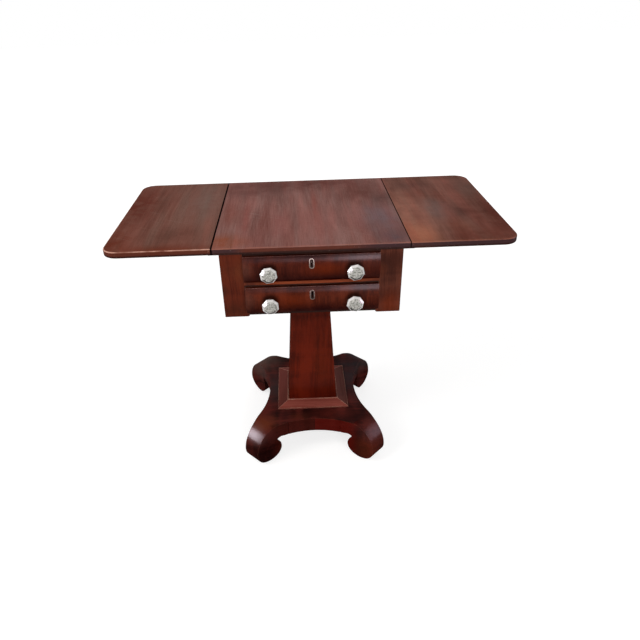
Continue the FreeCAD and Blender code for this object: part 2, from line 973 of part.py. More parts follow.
def drawer(level, low, room_high, high_play):
    front_low = low + s.front_low_play
    front_high = room_high - high_play
    tall = front_high - front_low
    middle = (front_low + front_high) * 0.5
    half = opening_half - s.front_side_play
    radius = swell_radius(tall)
    crown = front_face - s.front_swell
    section = [
        (front_back, front_low),
        (front_back, front_high),
        (front_face, front_high),
        (front_face, front_low, radius, 1),
    ]
    blank = prism(f"front_blank_{level}", "YZ_Plane", section, -half, half)

    # keyhole and escutcheon, which follows the swell
    key_high = middle + s.keyhole_rise
    ring_half = s.escutcheon_wide * 0.5
    lobe = s.escutcheon_tall * 0.5 - ring_half

    def slot(label, half_wide, reach, y):
        """An upright hole with round ends, seen from the front."""
        shaft = box(
            f"{label}_shaft", (-half_wide, half_wide), y, (key_high - reach, key_high + reach)
        )
        ends = [
            rod(f"{label}_end_{number}", (ZERO, key_high + reach * step), half_wide, *y, axis="y")
            for number, step in enumerate((-1, 1))
        ]
        return joined(label, [shaft] + ends)

    proud = s.escutcheon_proud
    axis_deep = crown + radius
    skin = cut(
        f"escutcheon_skin_{level}",
        rod(
            f"escutcheon_outer_{level}", (axis_deep, middle), radius + proud, -half, half, axis="x"
        ),
        [
            rod(
                f"escutcheon_inner_{level}",
                (axis_deep, middle),
                radius - s.escutcheon_deep,
                -half,
                half,
                axis="x",
            )
        ],
    )
    fore = (crown - s.overrun, axis_deep)
    plate = common(
        f"escutcheon_plate_{level}",
        skin,
        slot(f"escutcheon_form_{level}", ring_half, lobe, fore),
    )
    through = (crown - s.overrun, lock_middle)
    hole = joined(
        f"keyhole_{level}",
        [
            slot(f"keyhole_slot_{level}", s.keyhole_slot, lobe, through),
            rod(
                f"keyhole_round_{level}",
                (ZERO, key_high + lobe),
                s.keyhole_radius,
                *through,
                axis="y",
            ),
        ],
    )
    keep(cut(f"escutcheon_{level}", plate, [hole]))

    # lock: a case let into the back of the front, and a bolt that rises into the rail
    case_x = (-s.lock_wide * 0.5, s.lock_wide * 0.5)
    case_z = (front_high - s.lock_tall, front_high)
    case_y = (front_back - s.lock_thick, front_back)
    lock_blank = box(f"lock_blank_{level}", case_x, case_y, case_z)
    bolt_half = s.lock_bolt_wide * 0.5
    bolt_deep = s.lock_bolt_thick * 0.5
    bolt_low = front_high - s.lock_bolt_tall
    channel = box(
        f"lock_channel_{level}",
        (-bolt_half - s.lock_play, bolt_half + s.lock_play),
        (lock_middle - bolt_deep - s.lock_play, lock_middle + bolt_deep + s.lock_play),
        (bolt_low - s.lock_play, front_high + s.overrun),
    )
    keep(cut(f"lock_case_{level}", lock_blank, [channel, hole]))
    keep(
        box(
            f"lock_bolt_{level}",
            (-bolt_half, bolt_half),
            (lock_middle - bolt_deep, lock_middle + bolt_deep),
            (bolt_low, front_high),
        )
    )

    # knobs, bolts and nuts
    seat = crown + s.knob_seat_sink
    nut_back = front_back - s.nut_room + s.nut_thick * 0.5
    bolts, tools = [], []
    for name, side in SIDES.items():
        out = s.knob_place * side
        bolt = rod(
            f"knob_bolt_{level}_{name}",
            (out, middle),
            s.bolt_radius,
            seat - s.bolt_in_glass,
            nut_back,
            axis="y",
        )
        nut = nut_blank(f"nut_{level}_{name}", out, middle, nut_back)
        threaded = rod(
            f"nut_bore_{level}_{name}", (out, middle), s.bolt_radius, seat, front_back, axis="y"
        )
        bolts += [bolt, cut(f"knob_nut_{level}_{name}", nut, [threaded])]
        tools.append(
            rod(
                f"nut_room_{level}_{name}",
                (out, middle),
                s.nut_across,
                nut_back - s.nut_thick,
                front_back + s.overrun,
                axis="y",
            )
        )
        tools.append(
            rod(
                f"bolt_room_{level}_{name}",
                (out, middle),
                s.bolt_radius,
                seat - s.overrun,
                front_back,
                axis="y",
            )
        )
        tools.append(
            rod(
                f"knob_seat_{level}_{name}",
                (out, middle),
                s.knob_seat_radius,
                crown - s.overrun,
                seat,
                axis="y",
            )
        )
        keep(knob(f"knob_{level}_{name}", out, seat, middle, KNOB_TURNS[level][name]))
    keep(grouped(f"knob_bolts_{level}", bolts))

    # box: sides, back and a floor in grooves
    side_low = low + s.slide_play
    side_high = side_low + s.drawer_side_tall
    floor_low = side_low + s.drawer_floor_rise
    floor_high = floor_low + s.drawer_floor_thick
    box_back = back_inner - s.drawer_back_play
    inner_half = half - s.drawer_side_thick
    groove_half = inner_half + s.groove_deep
    front_groove = front_back - s.groove_deep
    floor_blank = box(
        f"floor_groove_{level}",
        (-groove_half - s.groove_play, groove_half + s.groove_play),
        (front_groove - s.groove_play, box_back + s.overrun),
        (floor_low - s.groove_play, floor_high + s.groove_play),
    )
    keep(
        box(
            f"drawer_{level}_floor",
            (-groove_half, groove_half),
            (front_groove, box_back),
            (floor_low, floor_high),
        )
    )
    for name, side in SIDES.items():
        board = box(
            f"drawer_side_blank_{level}_{name}",
            span(inner_half * side, half * side),
            (front_back, box_back),
            (side_low, side_high),
        )
        keep(cut(f"drawer_{level}_side_{name}", board, [floor_blank]))
    keep(
        box(
            f"drawer_{level}_back",
            (-inner_half, inner_half),
            (box_back - s.drawer_back_thick, box_back),
            (floor_high + s.groove_play, side_high),
        )
    )
    keep(cut(f"drawer_{level}_front", blank, [plate, hole, lock_blank, floor_blank] + tools))


drawer("upper", upper_low, upper_high, s.upper_front_play)
drawer("lower", lower_low, lower_high, s.lower_front_play)


# Column: tapers from the plinth to the cleat, with a tenon through the platform
def square(half):
    return [(half, -half), (half, half), (-half, half), (-half, -half)]


def rounded_square(half, radius):
    flat = half - radius
    return [
        (half, -flat, radius, 1),
        (half, flat),
        (flat, half, radius, 1),
        (-flat, half),
        (-half, flat, radius, 1),
        (-half, -flat),
        (-flat, -half, radius, 1),
        (flat, -half),
    ]


def column():
    body = new_body("column")
    foot = sketch_on(body, "XY_Plane", "column_foot", s.platform_top)
    draw(foot, rounded_square(s.column_foot_half, s.column_round))
    head = sketch_on(body, "XY_Plane", "column_head", case_low - s.cleat_thick)
    draw(head, rounded_square(s.column_top_half, s.column_round))
    taper = body.newObject("PartDesign::AdditiveLoft", "column_taper")
    taper.Profile = foot
    taper.Sections = [head]
    taper.Ruled = True
    foot.Visibility = head.Visibility = False
    tenon = sketch_on(body, "XY_Plane", "column_tenon", s.platform_top)
    draw(tenon, square(s.tenon_half))
    pad(body, tenon, s.platform_thick).Reversed = True
    return body


def cleat():
    """The board between column and case, with bevelled lower edges at its ends."""
    high = case_low
    low = case_low - s.cleat_thick
    steps = [
        (s.cleat_half_wide - s.cleat_bevel, low),
        (s.cleat_half_wide, low + s.cleat_bevel),
        (s.cleat_half_wide, high),
        (-s.cleat_half_wide, high),
        (-s.cleat_half_wide, low + s.cleat_bevel),
        (s.cleat_bevel - s.cleat_half_wide, low),
    ]
    board = prism("cleat_blank", "XZ_Plane", steps, -s.cleat_half_deep, s.cleat_half_deep)
    return cut("column_cleat", board, [cleat_screws])


keep(column())
keep(cleat())


# Plinth mouldings: a bead against the column, then a slope down to a small step
def plinth_strip(label, quarter):
    inner = s.column_foot_half + s.plinth_play
    low = s.platform_top
    high = s.platform_top + s.plinth_tall
    steps = [
        (inner, low),
        (s.plinth_half, low),
        (s.plinth_half, low + s.plinth_step),
        (s.plinth_half - s.plinth_quirk, low + s.plinth_step),
        (inner + s.plinth_bead, high - s.plinth_quirk),
        (inner + s.plinth_bead, high),
        (inner, high),
    ]
    bar = prism(f"{label}_bar", "XZ_Plane", steps, -s.plinth_half, s.plinth_half)
    wedge = prism(
        f"{label}_mitre",
        "XY_Plane",
        [(s.plinth_half, -s.plinth_half), (s.plinth_half, s.plinth_half), (ZERO, ZERO)],
        low,
        high,
    )
    strip = common(label, bar, wedge)
    strip.Placement = FreeCAD.Placement(
        FreeCAD.Vector(), FreeCAD.Rotation(FreeCAD.Vector(0, 0, 1), 90 * quarter)
    )
    return strip


for quarter, name in enumerate(("right", "back", "left", "front")):
    keep(plinth_strip(f"plinth_{name}", quarter))


# Platform and feet: one plan of four hollow sides cuts all five pieces
def plan_prism(label, low):
    fore = s.tip_front_fore - s.front_waist
    out = s.tip_side_out - s.side_waist
    front_bend = (s.tip_front_out * s.tip_front_out + fore * fore) / (fore * 2)
    side_bend = (s.tip_side_fore * s.tip_side_fore + out * out) / (out * 2)
    front_tip = (s.tip_front_out, s.tip_front_fore)
    side_tip = (s.tip_side_out, s.tip_side_fore)
    steps = [
        (front_tip[0], -front_tip[1], front_bend, -1),
        (side_tip[0], -side_tip[1]),
        (side_tip[0], side_tip[1], side_bend, -1),
        (front_tip[0], front_tip[1]),
        (-front_tip[0], front_tip[1], front_bend, -1),
        (-side_tip[0], side_tip[1]),
        (-side_tip[0], -side_tip[1], side_bend, -1),
        (-front_tip[0], -front_tip[1]),
    ]
    return prism(label, "XY_Plane", steps, low, s.platform_top)


def turned(thing, degrees):
    thing.Placement = FreeCAD.Placement(
        FreeCAD.Vector(), FreeCAD.Rotation(FreeCAD.Vector(0, 0, 1), degrees)
    )
    return thing


def platform():
    low = s.platform_top - s.platform_thick
    plan = plan_prism("platform_plan", low)
    core = prism("platform_core", "XY_Plane", square(s.foot_root_reach), low, s.platform_top)
    mortise = box(
        "platform_mortise",
        (-s.tenon_half, s.tenon_half),
        (-s.tenon_half, s.tenon_half),
        (low - s.overrun, s.platform_top + s.overrun),
    )
    return cut("base_platform", common("platform_form", plan, turned(core, 45)), [mortise])


def polar(centre, radius, degrees):
    """A point on a circle, as two sizes."""
    angle = math.radians(degrees)
    return centre[0] + radius * math.cos(angle), centre[1] + radius * math.sin(angle)


def tangent_bend(start, end, degrees):
    """The radius of the arc from start that meets, at end, a circle's point at that angle."""
    x, y = start[0] - end[0], start[1] - end[1]
    angle = math.radians(degrees)
    return (x * x + y * y) / ((x * math.cos(angle) + y * math.sin(angle)) * -2)


SHOULDER_TURN = 50
CURL_TURN = 130


def scroll_steps():
    """
    The foot's scroll, seen square to its diagonal: the crest runs into the shoulder,
    the roll touches the floor, and the curl turns up into the throat under the platform.
    """
    low = s.platform_top - s.platform_thick
    roll = (s.foot_reach - s.roll_radius, s.roll_radius)
    shoulder = (s.foot_reach - s.shoulder_radius, s.roll_radius)
    root_top = (s.foot_root_reach, s.platform_top)
    shoulder_start = polar(shoulder, s.shoulder_radius, SHOULDER_TURN)
    crest = tangent_bend(root_top, shoulder_start, SHOULDER_TURN)
    inner = roll[0] - s.roll_radius
    curl = (inner + s.curl_radius, s.roll_radius)
    curl_end = polar(curl, s.curl_radius, CURL_TURN)
    throat = curl_end[0] - s.throat_radius
    return [
        root_top,
        (*shoulder_start, crest, -1),
        (s.foot_reach, s.roll_radius, s.shoulder_radius, -1),
        (roll[0], ZERO, s.roll_radius, -1),
        (inner, s.roll_radius, s.roll_radius, -1),
        (*curl_end, s.curl_radius, -1),
        (throat, low, s.throat_radius, 1),
        (s.foot_root_reach, low),
    ]


def foot(label, degrees, plan):
    scroll = prism(
        f"{label}_scroll", "XZ_Plane", scroll_steps(), -s.foot_half_wide, s.foot_half_wide
    )
    return common(label, turned(scroll, degrees), plan)


keep(platform())
foot_plan = plan_prism("foot_plan", ZERO)
FEET = {"rear_right": 45, "rear_left": 135, "front_left": 225, "front_right": 315}
for name, degrees in FEET.items():
    keep(foot(f"foot_{name}", degrees, foot_plan))

doc.recompute()
failed = [thing.Label for thing in doc.Objects if {"Invalid", "Error"} & set(thing.State)]
if failed:
    raise RuntimeError(f"these objects did not build: {failed}")
for thing in kept:
    shape = thing.Shape
    if shape.isNull() or not shape.isValid() or not shape.Solids:
        raise RuntimeError(f"{thing.Label} is not a valid solid")

os.makedirs("parts", exist_ok=True)
for thing in kept:
    thing.Shape.exportStep(f"parts/{thing.Label}.step")
print(len(kept), "sub-parts written")
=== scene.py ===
import math

import bpy
from mathutils import Matrix, Vector


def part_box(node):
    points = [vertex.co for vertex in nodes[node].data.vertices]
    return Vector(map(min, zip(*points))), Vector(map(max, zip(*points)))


# A drop-leaf work table in old mahogany, on a white floor. Metres, with the origin on the floor under
# the middle of the column, +X to the right leaf, -Y to the front and +Z up.

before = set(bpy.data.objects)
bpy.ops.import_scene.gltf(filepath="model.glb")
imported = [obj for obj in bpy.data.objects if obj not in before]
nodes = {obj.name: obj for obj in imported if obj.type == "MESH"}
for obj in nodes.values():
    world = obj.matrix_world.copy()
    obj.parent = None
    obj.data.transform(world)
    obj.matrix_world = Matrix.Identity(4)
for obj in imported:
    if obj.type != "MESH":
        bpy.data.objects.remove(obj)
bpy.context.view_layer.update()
scene = bpy.context.scene
scene.view_settings.view_transform = "Standard"

# Camera, lamps and floor

# Places are in metres and angles in radians. The lens and its sensor are in millimetres.
CAMERA_PLACE = Vector((-0.0366, -1.4757, 1.2579))
CAMERA_TURN = -0.0122
CAMERA_TILT = -0.5475
CAMERA_ROLL = 0.0307
FOCAL_LENGTH = 31.86
SENSOR_WIDTH = 36.0
CAMERA_SHIFT = (0.0245, 0.0088)

WHITE = (1, 1, 1, 1)
WORLD_LIGHT = 0.50
BACKGROUND_WHITE = 1.0
FLOOR_HALF = 14.0
FLOOR_TONE = (0.42, 0.42, 0.42)
FLOOR_ROUGH = 0.8
FLOOR_GLOW = 0.74
FLOOR_FADE = (1.2, 4.0)

# Soft lamps light the object and don't show in its polish. Gleams are the bright windows that
# show only in polish, glass and metal. Each has its place, aim, width and height, power in watts
# and tint.
LAMPS = {
    "lamp_left": {
        "place": (-1.90, -0.90, 2.05),
        "aim": (-0.05, -0.05, 0.45),
        "size": (0.90, 1.10),
        "power": 30.0,
        "tint": (1.0, 0.97, 0.94),
    },
    "lamp_front": {
        "place": (0.75, -2.55, 1.75),
        "aim": (0.0, 0.0, 0.45),
        "size": (1.30, 1.10),
        "power": 25.0,
        "tint": (1.0, 0.96, 0.92),
    },
    "lamp_back": {
        "place": (0.80, 2.60, 1.75),
        "aim": (0.15, 0.0, 0.70),
        "size": (0.70, 0.90),
        "power": 8.0,
        "tint": (0.90, 0.94, 1.0),
    },
    "gleam_left": {
        "place": (-2.56, -0.40, 1.22),
        "aim": (-0.20, -0.18, 0.10),
        "size": (0.80, 1.68),
        "power": 76.0,
        "tint": (0.98, 0.90, 1.0),
        "gleam": True,
    },
    "gleam_front": {
        "place": (0.68, -2.85, 2.05),
        "aim": (0.0, -0.20, 0.65),
        "size": (1.90, 1.10),
        "power": 88.0,
        "tint": (1.0, 0.88, 1.0),
        "gleam": True,
    },
    "gleam_right": {
        "place": (2.40, -0.28, 0.95),
        "aim": (0.20, -0.20, 0.10),
        "size": (1.00, 1.80),
        "power": 50.0,
        "tint": (1.0, 0.80, 0.97),
        "gleam": True,
    },
}


def make_camera():
    data = bpy.data.cameras.new("camera")
    data.sensor_width = SENSOR_WIDTH
    data.lens = FOCAL_LENGTH
    data.shift_x, data.shift_y = CAMERA_SHIFT
    camera = bpy.data.objects.new("camera", data)
    turn = Matrix.Rotation(CAMERA_TURN, 4, "Z")
    tilt = Matrix.Rotation(CAMERA_TILT, 4, "X")
    roll = Matrix.Rotation(CAMERA_ROLL, 4, "Y")
    upright = Matrix.Rotation(math.radians(90), 4, "X")
    camera.matrix_world = Matrix.Translation(CAMERA_PLACE) @ turn @ tilt @ roll @ upright
    scene.collection.objects.link(camera)
    scene.camera = camera


def make_lamp(name, place, aim, size, power, tint, gleam=False):
    data = bpy.data.lights.new(name, "AREA")
    data.shape = "RECTANGLE"
    data.size, data.size_y = size
    data.energy = power
    data.color = tint
    lamp = bpy.data.objects.new(name, data)
    lamp.location = place
    lamp.rotation_euler = (Vector(aim) - Vector(place)).to_track_quat("-Z", "Y").to_euler()
    lamp.visible_diffuse = not gleam
    lamp.visible_glossy = gleam
    scene.collection.objects.link(lamp)


def seen_directly(tree):
    """1 for camera, mirror and see-through rays, and 0 for the rays that light the object."""
    path = tree.nodes.new("ShaderNodeLightPath")
    total = path.outputs["Is Camera Ray"]
    for name in ("Is Glossy Ray", "Is Transmission Ray"):
        larger = tree.nodes.new("ShaderNodeMath")
        larger.operation = "MAXIMUM"
        tree.links.new(total, larger.inputs[0])
        tree.links.new(path.outputs[name], larger.inputs[1])
        total = larger.outputs[0]
    return total


def make_world():
    """A white background that lights the object less than it shows."""
    world = bpy.data.worlds.new("world")
    scene.world = world
    world.use_nodes = True
    tree = world.node_tree
    background = tree.nodes["Background"]
    background.inputs["Color"].default_value = WHITE
    strength = tree.nodes.new("ShaderNodeMapRange")
    strength.inputs["To Min"].default_value = WORLD_LIGHT
    strength.inputs["To Max"].default_value = BACKGROUND_WHITE
    tree.links.new(seen_directly(tree), strength.inputs["Value"])
    tree.links.new(strength.outputs[0], background.inputs["Strength"])


def make_floor():
    """The floor takes the shadow. To the camera it also glows, and with the distance this grows
    until the floor ends in the white of the background."""
    half = FLOOR_HALF
    mesh = bpy.data.meshes.new("floor")
    corners = [(-half, -half, 0), (half, -half, 0), (half, half, 0), (-half, half, 0)]
    mesh.from_pydata(corners, [], [(0, 1, 2, 3)])
    floor = bpy.data.objects.new("floor", mesh)
    scene.collection.objects.link(floor)
    material = bpy.data.materials.new("floor_white")
    material.use_nodes = True
    tree = material.node_tree
    paint = tree.nodes["Principled BSDF"]
    paint.inputs["Base Color"].default_value = (*FLOOR_TONE, 1)
    paint.inputs["Roughness"].default_value = FLOOR_ROUGH
    paint.inputs["Specular IOR Level"].default_value = 0.0
    place = tree.nodes.new("ShaderNodeTexCoord")
    far = tree.nodes.new("ShaderNodeVectorMath")
    far.operation = "LENGTH"
    tree.links.new(place.outputs["Object"], far.inputs[0])
    level = tree.nodes.new("ShaderNodeMapRange")
    tree.links.new(far.outputs["Value"], level.inputs["Value"])
    level.inputs["From Min"].default_value, level.inputs["From Max"].default_value = FLOOR_FADE
    level.inputs["To Min"].default_value = FLOOR_GLOW
    glow = tree.nodes.new("ShaderNodeEmission")
    strength = tree.nodes.new("ShaderNodeMath")
    strength.operation = "MULTIPLY"
    tree.links.new(level.outputs[0], strength.inputs[1])
    tree.links.new(seen_directly(tree), strength.inputs[0])
    tree.links.new(strength.outputs[0], glow.inputs["Strength"])
    both = tree.nodes.new("ShaderNodeAddShader")
    tree.links.new(paint.outputs[0], both.inputs[0])
    tree.links.new(glow.outputs[0], both.inputs[1])
    tree.links.new(both.outputs[0], tree.nodes["Material Output"].inputs["Surface"])
    mesh.materials.append(material)


make_camera()
for lamp_name, lamp in LAMPS.items():
    make_lamp(lamp_name, **lamp)
make_world()
make_floor()

# Materials

EDGE_SAMPLES = 4


class Paint:
    """One node material. Each method adds a node and gives back its output, and an input is a number,
    a colour or another node's output."""

    def __init__(self, name):
        self.material = bpy.data.materials.new(name)
        self.material.use_nodes = True
        self.tree = self.material.node_tree
        self.shader = self.tree.nodes["Principled BSDF"]
        self.place = self.node("ShaderNodeTexCoord", {}, "Object")
        self.facing = self.node("ShaderNodeTexCoord", {}, "Normal")

    def node(self, kind, inputs, output=0, **settings):
        made = self.tree.nodes.new(kind)
        for name, value in settings.items():
            setattr(made, name, value)
        for name, value in inputs.items():
            self.give(made.inputs[name], value)
        return made.outputs[output]

    def give(self, socket, value):
        if isinstance(value, bpy.types.NodeSocket):
            self.tree.links.new(value, socket)
        elif isinstance(value, tuple) and len(value) == 3 and socket.type == "RGBA":
            socket.default_value = (*value, 1.0)
        else:
            socket.default_value = value

    def finish(self, **inputs):
        """Sets the shader's own sockets, named as they are there with _ for a space."""
        for name, value in inputs.items():
            self.give(self.shader.inputs[name.replace("_", " ")], value)
        return self.material

    def math(self, operation, first, second=0.0, clamp=False):
        return self.node(
            "ShaderNodeMath", {0: first, 1: second}, operation=operation, use_clamp=clamp
        )

    def product(self, *values):
        total = values[0]
        for value in values[1:]:
            total = self.math("MULTIPLY", total, value)
        return total

    def sum(self, *values):
        total = values[0]
        for value in values[1:]:
            total = self.math("ADD", total, value)
        return total

    def blend(self, values, shares):
        """The sum of the values, each times its share."""
        return self.sum(*[self.product(value, share) for value, share in zip(values, shares)])

    def noise(self, vector, detail=2.0, roughness=0.5, distortion=0.0):
        inputs = {
            "Vector": vector,
            "Scale": 1.0,
            "Detail": detail,
            "Roughness": roughness,
            "Distortion": distortion,
        }
        return self.node("ShaderNodeTexNoise", inputs, "Fac")

    def stretched_noise(self, vector, factors, *look):
        """Noise over the vector times the factors. It is finest along the largest factor."""
        place = self.node("ShaderNodeVectorMath", {0: vector, 1: factors}, operation="MULTIPLY")
        return self.noise(place, *look)

    def step(self, value, low, high, to_low=0.0, to_high=1.0):
        """to_low up to the value low, and softly from there to to_high at the value high."""
        inputs = {
            "Value": value,
            "From Min": low,
            "From Max": high,
            "To Min": to_low,
            "To Max": to_high,
        }
        return self.node("ShaderNodeMapRange", inputs, interpolation_type="SMOOTHSTEP")

    def fade(self, value, low, high, share=1.0):
        """The share up to the value low, and softly from there to 0 at the value high."""
        return self.step(value, low, high, share, 0.0)

    def mix(self, factor, first, second, blend="MIX"):
        """Two colours mixed. Inputs 6 and 7 take them, and output 2 gives the result."""
        inputs = {0: factor, 6: first, 7: second}
        return self.node("ShaderNodeMix", inputs, 2, data_type="RGBA", blend_type=blend)

    def parts(self, vector):
        """The X, Y and Z of a vector."""
        split = self.tree.nodes.new("ShaderNodeSeparateXYZ")
        self.tree.links.new(vector, split.inputs[0])
        return tuple(split.outputs)

    def joined(self, x, y, z):
        return self.node("ShaderNodeCombineXYZ", {0: x, 1: y, 2: z})

    def length(self, vector):
        return self.node("ShaderNodeVectorMath", {0: vector}, "Value", operation="LENGTH")

    def bump(self, height, strength, distance):
        inputs = {"Strength": strength, "Distance": distance, "Height": height}
        return self.node("ShaderNodeBump", inputs)

    def spot(self, centre, reach, flat=0.0):
        """1 at the centre, falling softly to 0 at the reach along each axis. It stays 1 over the flat
        share of the reach."""
        moved = self.node(
            "ShaderNodeVectorMath", {0: self.place, 1: centre}, operation="SUBTRACT"
        )
        scaled = self.node("ShaderNodeVectorMath", {0: moved, 1: reach}, operation="DIVIDE")
        return self.fade(self.length(scaled), flat, 1.0)

    def edges(self, radius):
        """1 on sharp edges within the radius and 0 on flat faces."""
        rounded = self.node("ShaderNodeBevel", {"Radius": radius}, samples=EDGE_SAMPLES)
        flat = self.node("ShaderNodeNewGeometry", {}, "True Normal")
        along = self.node(
            "ShaderNodeVectorMath", {0: rounded, 1: flat}, "Value", operation="DOT_PRODUCT"
        )
        return self.math("SUBTRACT", 1.0, along, clamp=True)


# Wood

# Turns that lay the X of the grain along X, Y or Z of the object
ALONG_X = (0.0, 0.0, 0.0)
ALONG_Y = (0.0, 0.0, math.radians(-90))
ALONG_Z = (0.0, math.radians(90), 0.0)

# How fine each noise is along X, Y and Z, and then its detail, roughness and distortion. The first
# five follow the grain.
SWAY = ((1.6, 6.0, 6.0), 2.0)
BROAD = ((3.0, 11.0, 11.0), 2.0)
FIBRE = ((14.0, 420.0, 420.0), 3.0, 0.6)
PORES = ((70.0, 1700.0, 1700.0), 1.0)
CURL = ((26.0, 5.0, 5.0), 1.0, 0.4, 0.6)
BREAKUP = ((19.0, 19.0, 19.0), 4.0, 0.65)
SMUDGE = ((9.0, 9.0, 9.0), 3.0, 0.6)
SCRATCH = ((5.0, 820.0, 60.0), 1.0)
SPECKS = ((420.0, 420.0, 420.0), 1.0)
BAND_LOOK = (3.0, 0.55)

# Where each noise starts to count and where it counts in full
PORE_STEP = (0.60, 0.74)
BREAKUP_STEP = (0.30, 0.66)
RUBBED_STEP = (0.02, 0.22)
SMUDGE_STEP = (0.3, 0.7)
SMUDGE_SCRATCHED = (0.45, 0.65)
SCRATCH_STEP = (0.69, 0.76)
SPECK_STEP = (0.74, 0.80)

# The seed moves each piece elsewhere in the tree, whose rings lie round a pith off the piece.
SEED_MOVE = (0.37, 0.11, 0.23)
PITH_ACROSS = 0.31
PITH_DEEP = 0.19
RING_SWAY = 0.06
BAND_STRETCH = 2.2
FIGURE_SHARES = (0.46, 0.26, 0.28)
FIGURE_SPREAD = 0.17
HEIGHT_SHARES = (-1.0, 0.35, 1.5)

# Least shares where a stain or a rubbed edge breaks up, and what pores, smudges and scuffs add to
# the roughness
STAIN_LEAST = 0.6
STAIN_FIGURE = 0.45
RUBBED_LEAST = 0.35
PORE_SHADE = 0.5
PORE_ROUGH = 0.12
SMUDGE_SMOOTH = 0.03
SMUDGE_ROUGH = 0.04
SCRATCH_TURN = (0.0, 0.0, 0.5)
SCUFF_ROUGH = 0.2
WOOD_BUMP = (0.35, 0.0003)
COAT_IOR = 1.6

PORE_COLOUR = (0.22, 0.12, 0.10)
SPECK_COLOUR = (0.36, 0.27, 0.24)
WARM_EDGE = (0.230, 0.075, 0.040)


def grain_figure(paint, grain, seed, bands, curl, contrast):
    """Wood figure from 0, dark, to 1, light, then the pores, and the height for the bump. The rings
    are wide round a pith that lies off the piece, so faces show long bands and ends show arcs."""
    turned = paint.node(
        "ShaderNodeMapping",
        {
            "Vector": paint.place,
            "Rotation": grain,
            "Location": tuple(move * seed for move in SEED_MOVE),
        },
    )
    along, across, deep = paint.parts(turned)
    sway = paint.stretched_noise(turned, *SWAY)
    from_pith = paint.joined(
        0.0, paint.math("ADD", across, PITH_ACROSS), paint.math("ADD", deep, PITH_DEEP)
    )
    ring = paint.sum(paint.length(from_pith), paint.product(sway, RING_SWAY))
    band_place = paint.joined(
        paint.product(along, BAND_STRETCH), paint.product(ring, bands), float(seed)
    )
    band = paint.noise(band_place, *BAND_LOOK)
    broad = paint.stretched_noise(turned, *BROAD)
    fibre = paint.stretched_noise(turned, *FIBRE)
    pores = paint.step(paint.stretched_noise(turned, *PORES), *PORE_STEP)
    figure = paint.blend((band, broad, fibre), FIGURE_SHARES)
    if curl:
        wave = paint.stretched_noise(turned, *CURL)
        figure = paint.sum(figure, paint.product(paint.math("SUBTRACT", wave, 0.5), curl))
    spread = FIGURE_SPREAD / contrast
    height = paint.blend((pores, fibre, sway), HEIGHT_SHARES)
    return paint.step(figure, 0.5 - spread, 0.5 + spread), pores, height


def wood(
    name,
    dark,
    light,
    grain,
    seed,
    bands=70.0,
    contrast=1.0,
    curl=0.0,
    rough=0.35,
    polish=0.10,
    polish_rough=0.22,
    burnished=(),
    polished_where=None,
    wear=None,
    wear_share=0.6,
    wear_wide=0.0022,
    stains=(),
    scuffs=0.0,
    extra=None,
    rubbed_where=None,
):
    """Old wood under a thin worn polish. Each stain has a centre, a reach, a colour and a strength,
    and each burnished place a centre, a reach and the polish that it adds. Extra paints over the
    colour. Rubbed_where and polished_where give the shares of wear and of polish that stay."""
    paint = Paint(name)
    figure, pores, height = grain_figure(paint, grain, seed, bands, curl, contrast)
    colour = paint.mix(figure, dark, light)

    breakup = paint.step(paint.stretched_noise(paint.place, *BREAKUP), *BREAKUP_STEP)
    for centre, reach, stain_colour, strength in stains:
        share = paint.product(
            paint.spot(centre, reach), strength, paint.step(breakup, 0.0, 1.0, STAIN_LEAST, 1.0)
        )
        streak = paint.mix(STAIN_FIGURE, stain_colour, paint.mix(figure, dark, light), "OVERLAY")
        colour = paint.mix(share, colour, streak)
    if extra:
        colour = extra(paint, colour)
    colour = paint.mix(paint.product(pores, PORE_SHADE), colour, PORE_COLOUR, "MULTIPLY")

    if wear:
        rubbed = paint.step(paint.edges(wear_wide), *RUBBED_STEP)
        rubbed = paint.product(
            rubbed, paint.step(breakup, 0.0, 1.0, RUBBED_LEAST, 1.0), wear_share
        )
        if rubbed_where:
            rubbed = paint.product(rubbed, rubbed_where(paint))
        colour = paint.mix(rubbed, colour, wear)

    smudge = paint.stretched_noise(paint.place, *SMUDGE)
    gloss = paint.step(smudge, *SMUDGE_STEP, rough - SMUDGE_SMOOTH, rough + SMUDGE_ROUGH)
    gloss = paint.sum(gloss, paint.product(pores, PORE_ROUGH))
    if scuffs:
        turned = paint.node(
            "ShaderNodeMapping", {"Vector": paint.place, "Rotation": SCRATCH_TURN}
        )
        scratch = paint.step(paint.stretched_noise(turned, *SCRATCH), *SCRATCH_STEP)
        scratch = paint.product(scratch, paint.step(smudge, *SMUDGE_SCRATCHED))
        specks = paint.step(paint.stretched_noise(paint.place, *SPECKS), *SPECK_STEP)
        marks = paint.product(paint.math("MAXIMUM", scratch, specks), scuffs)
        colour = paint.mix(marks, colour, SPECK_COLOUR)
        gloss = paint.sum(gloss, paint.product(marks, SCUFF_ROUGH))

    for centre, reach, extra_polish in burnished:
        polish = paint.sum(paint.product(paint.spot(centre, reach), extra_polish), polish)
    if polished_where:
        polish = paint.product(polished_where(paint), polish)
    return paint.finish(
        Base_Color=colour,
        Roughness=gloss,
        Specular_IOR_Level=0.0,
        Coat_IOR=COAT_IOR,
        Coat_Weight=polish,
        Coat_Roughness=polish_rough,
        Normal=paint.bump(height, *WOOD_BUMP),
    )


def clad(material, *names):
    """Gives the material to the named nodes."""
    for name in names:
        for held in nodes[name].material_slots:
            held.material = material


# Top and leaves. Heights are above the floor, and the two seams lie at LEAF_SEAM to the sides.

TOP_FACE = 0.73
TOP_REACH = 0.1
UPPER_BAND = (0.722, 0.724)
EDGE_BAND = (0.7165, 0.7215)

LEAF_SEAM = 0.2342
SEAM_SIDES = (-0.1, 0.1)
NARROW_SEAM = 1.7
SEAM_DIRT = (0.0016, 0.0028)
SEAM_RUBBED = (0.0040, 0.0060)
SEAM_BLACK = (0.004, 0.002, 0.002)

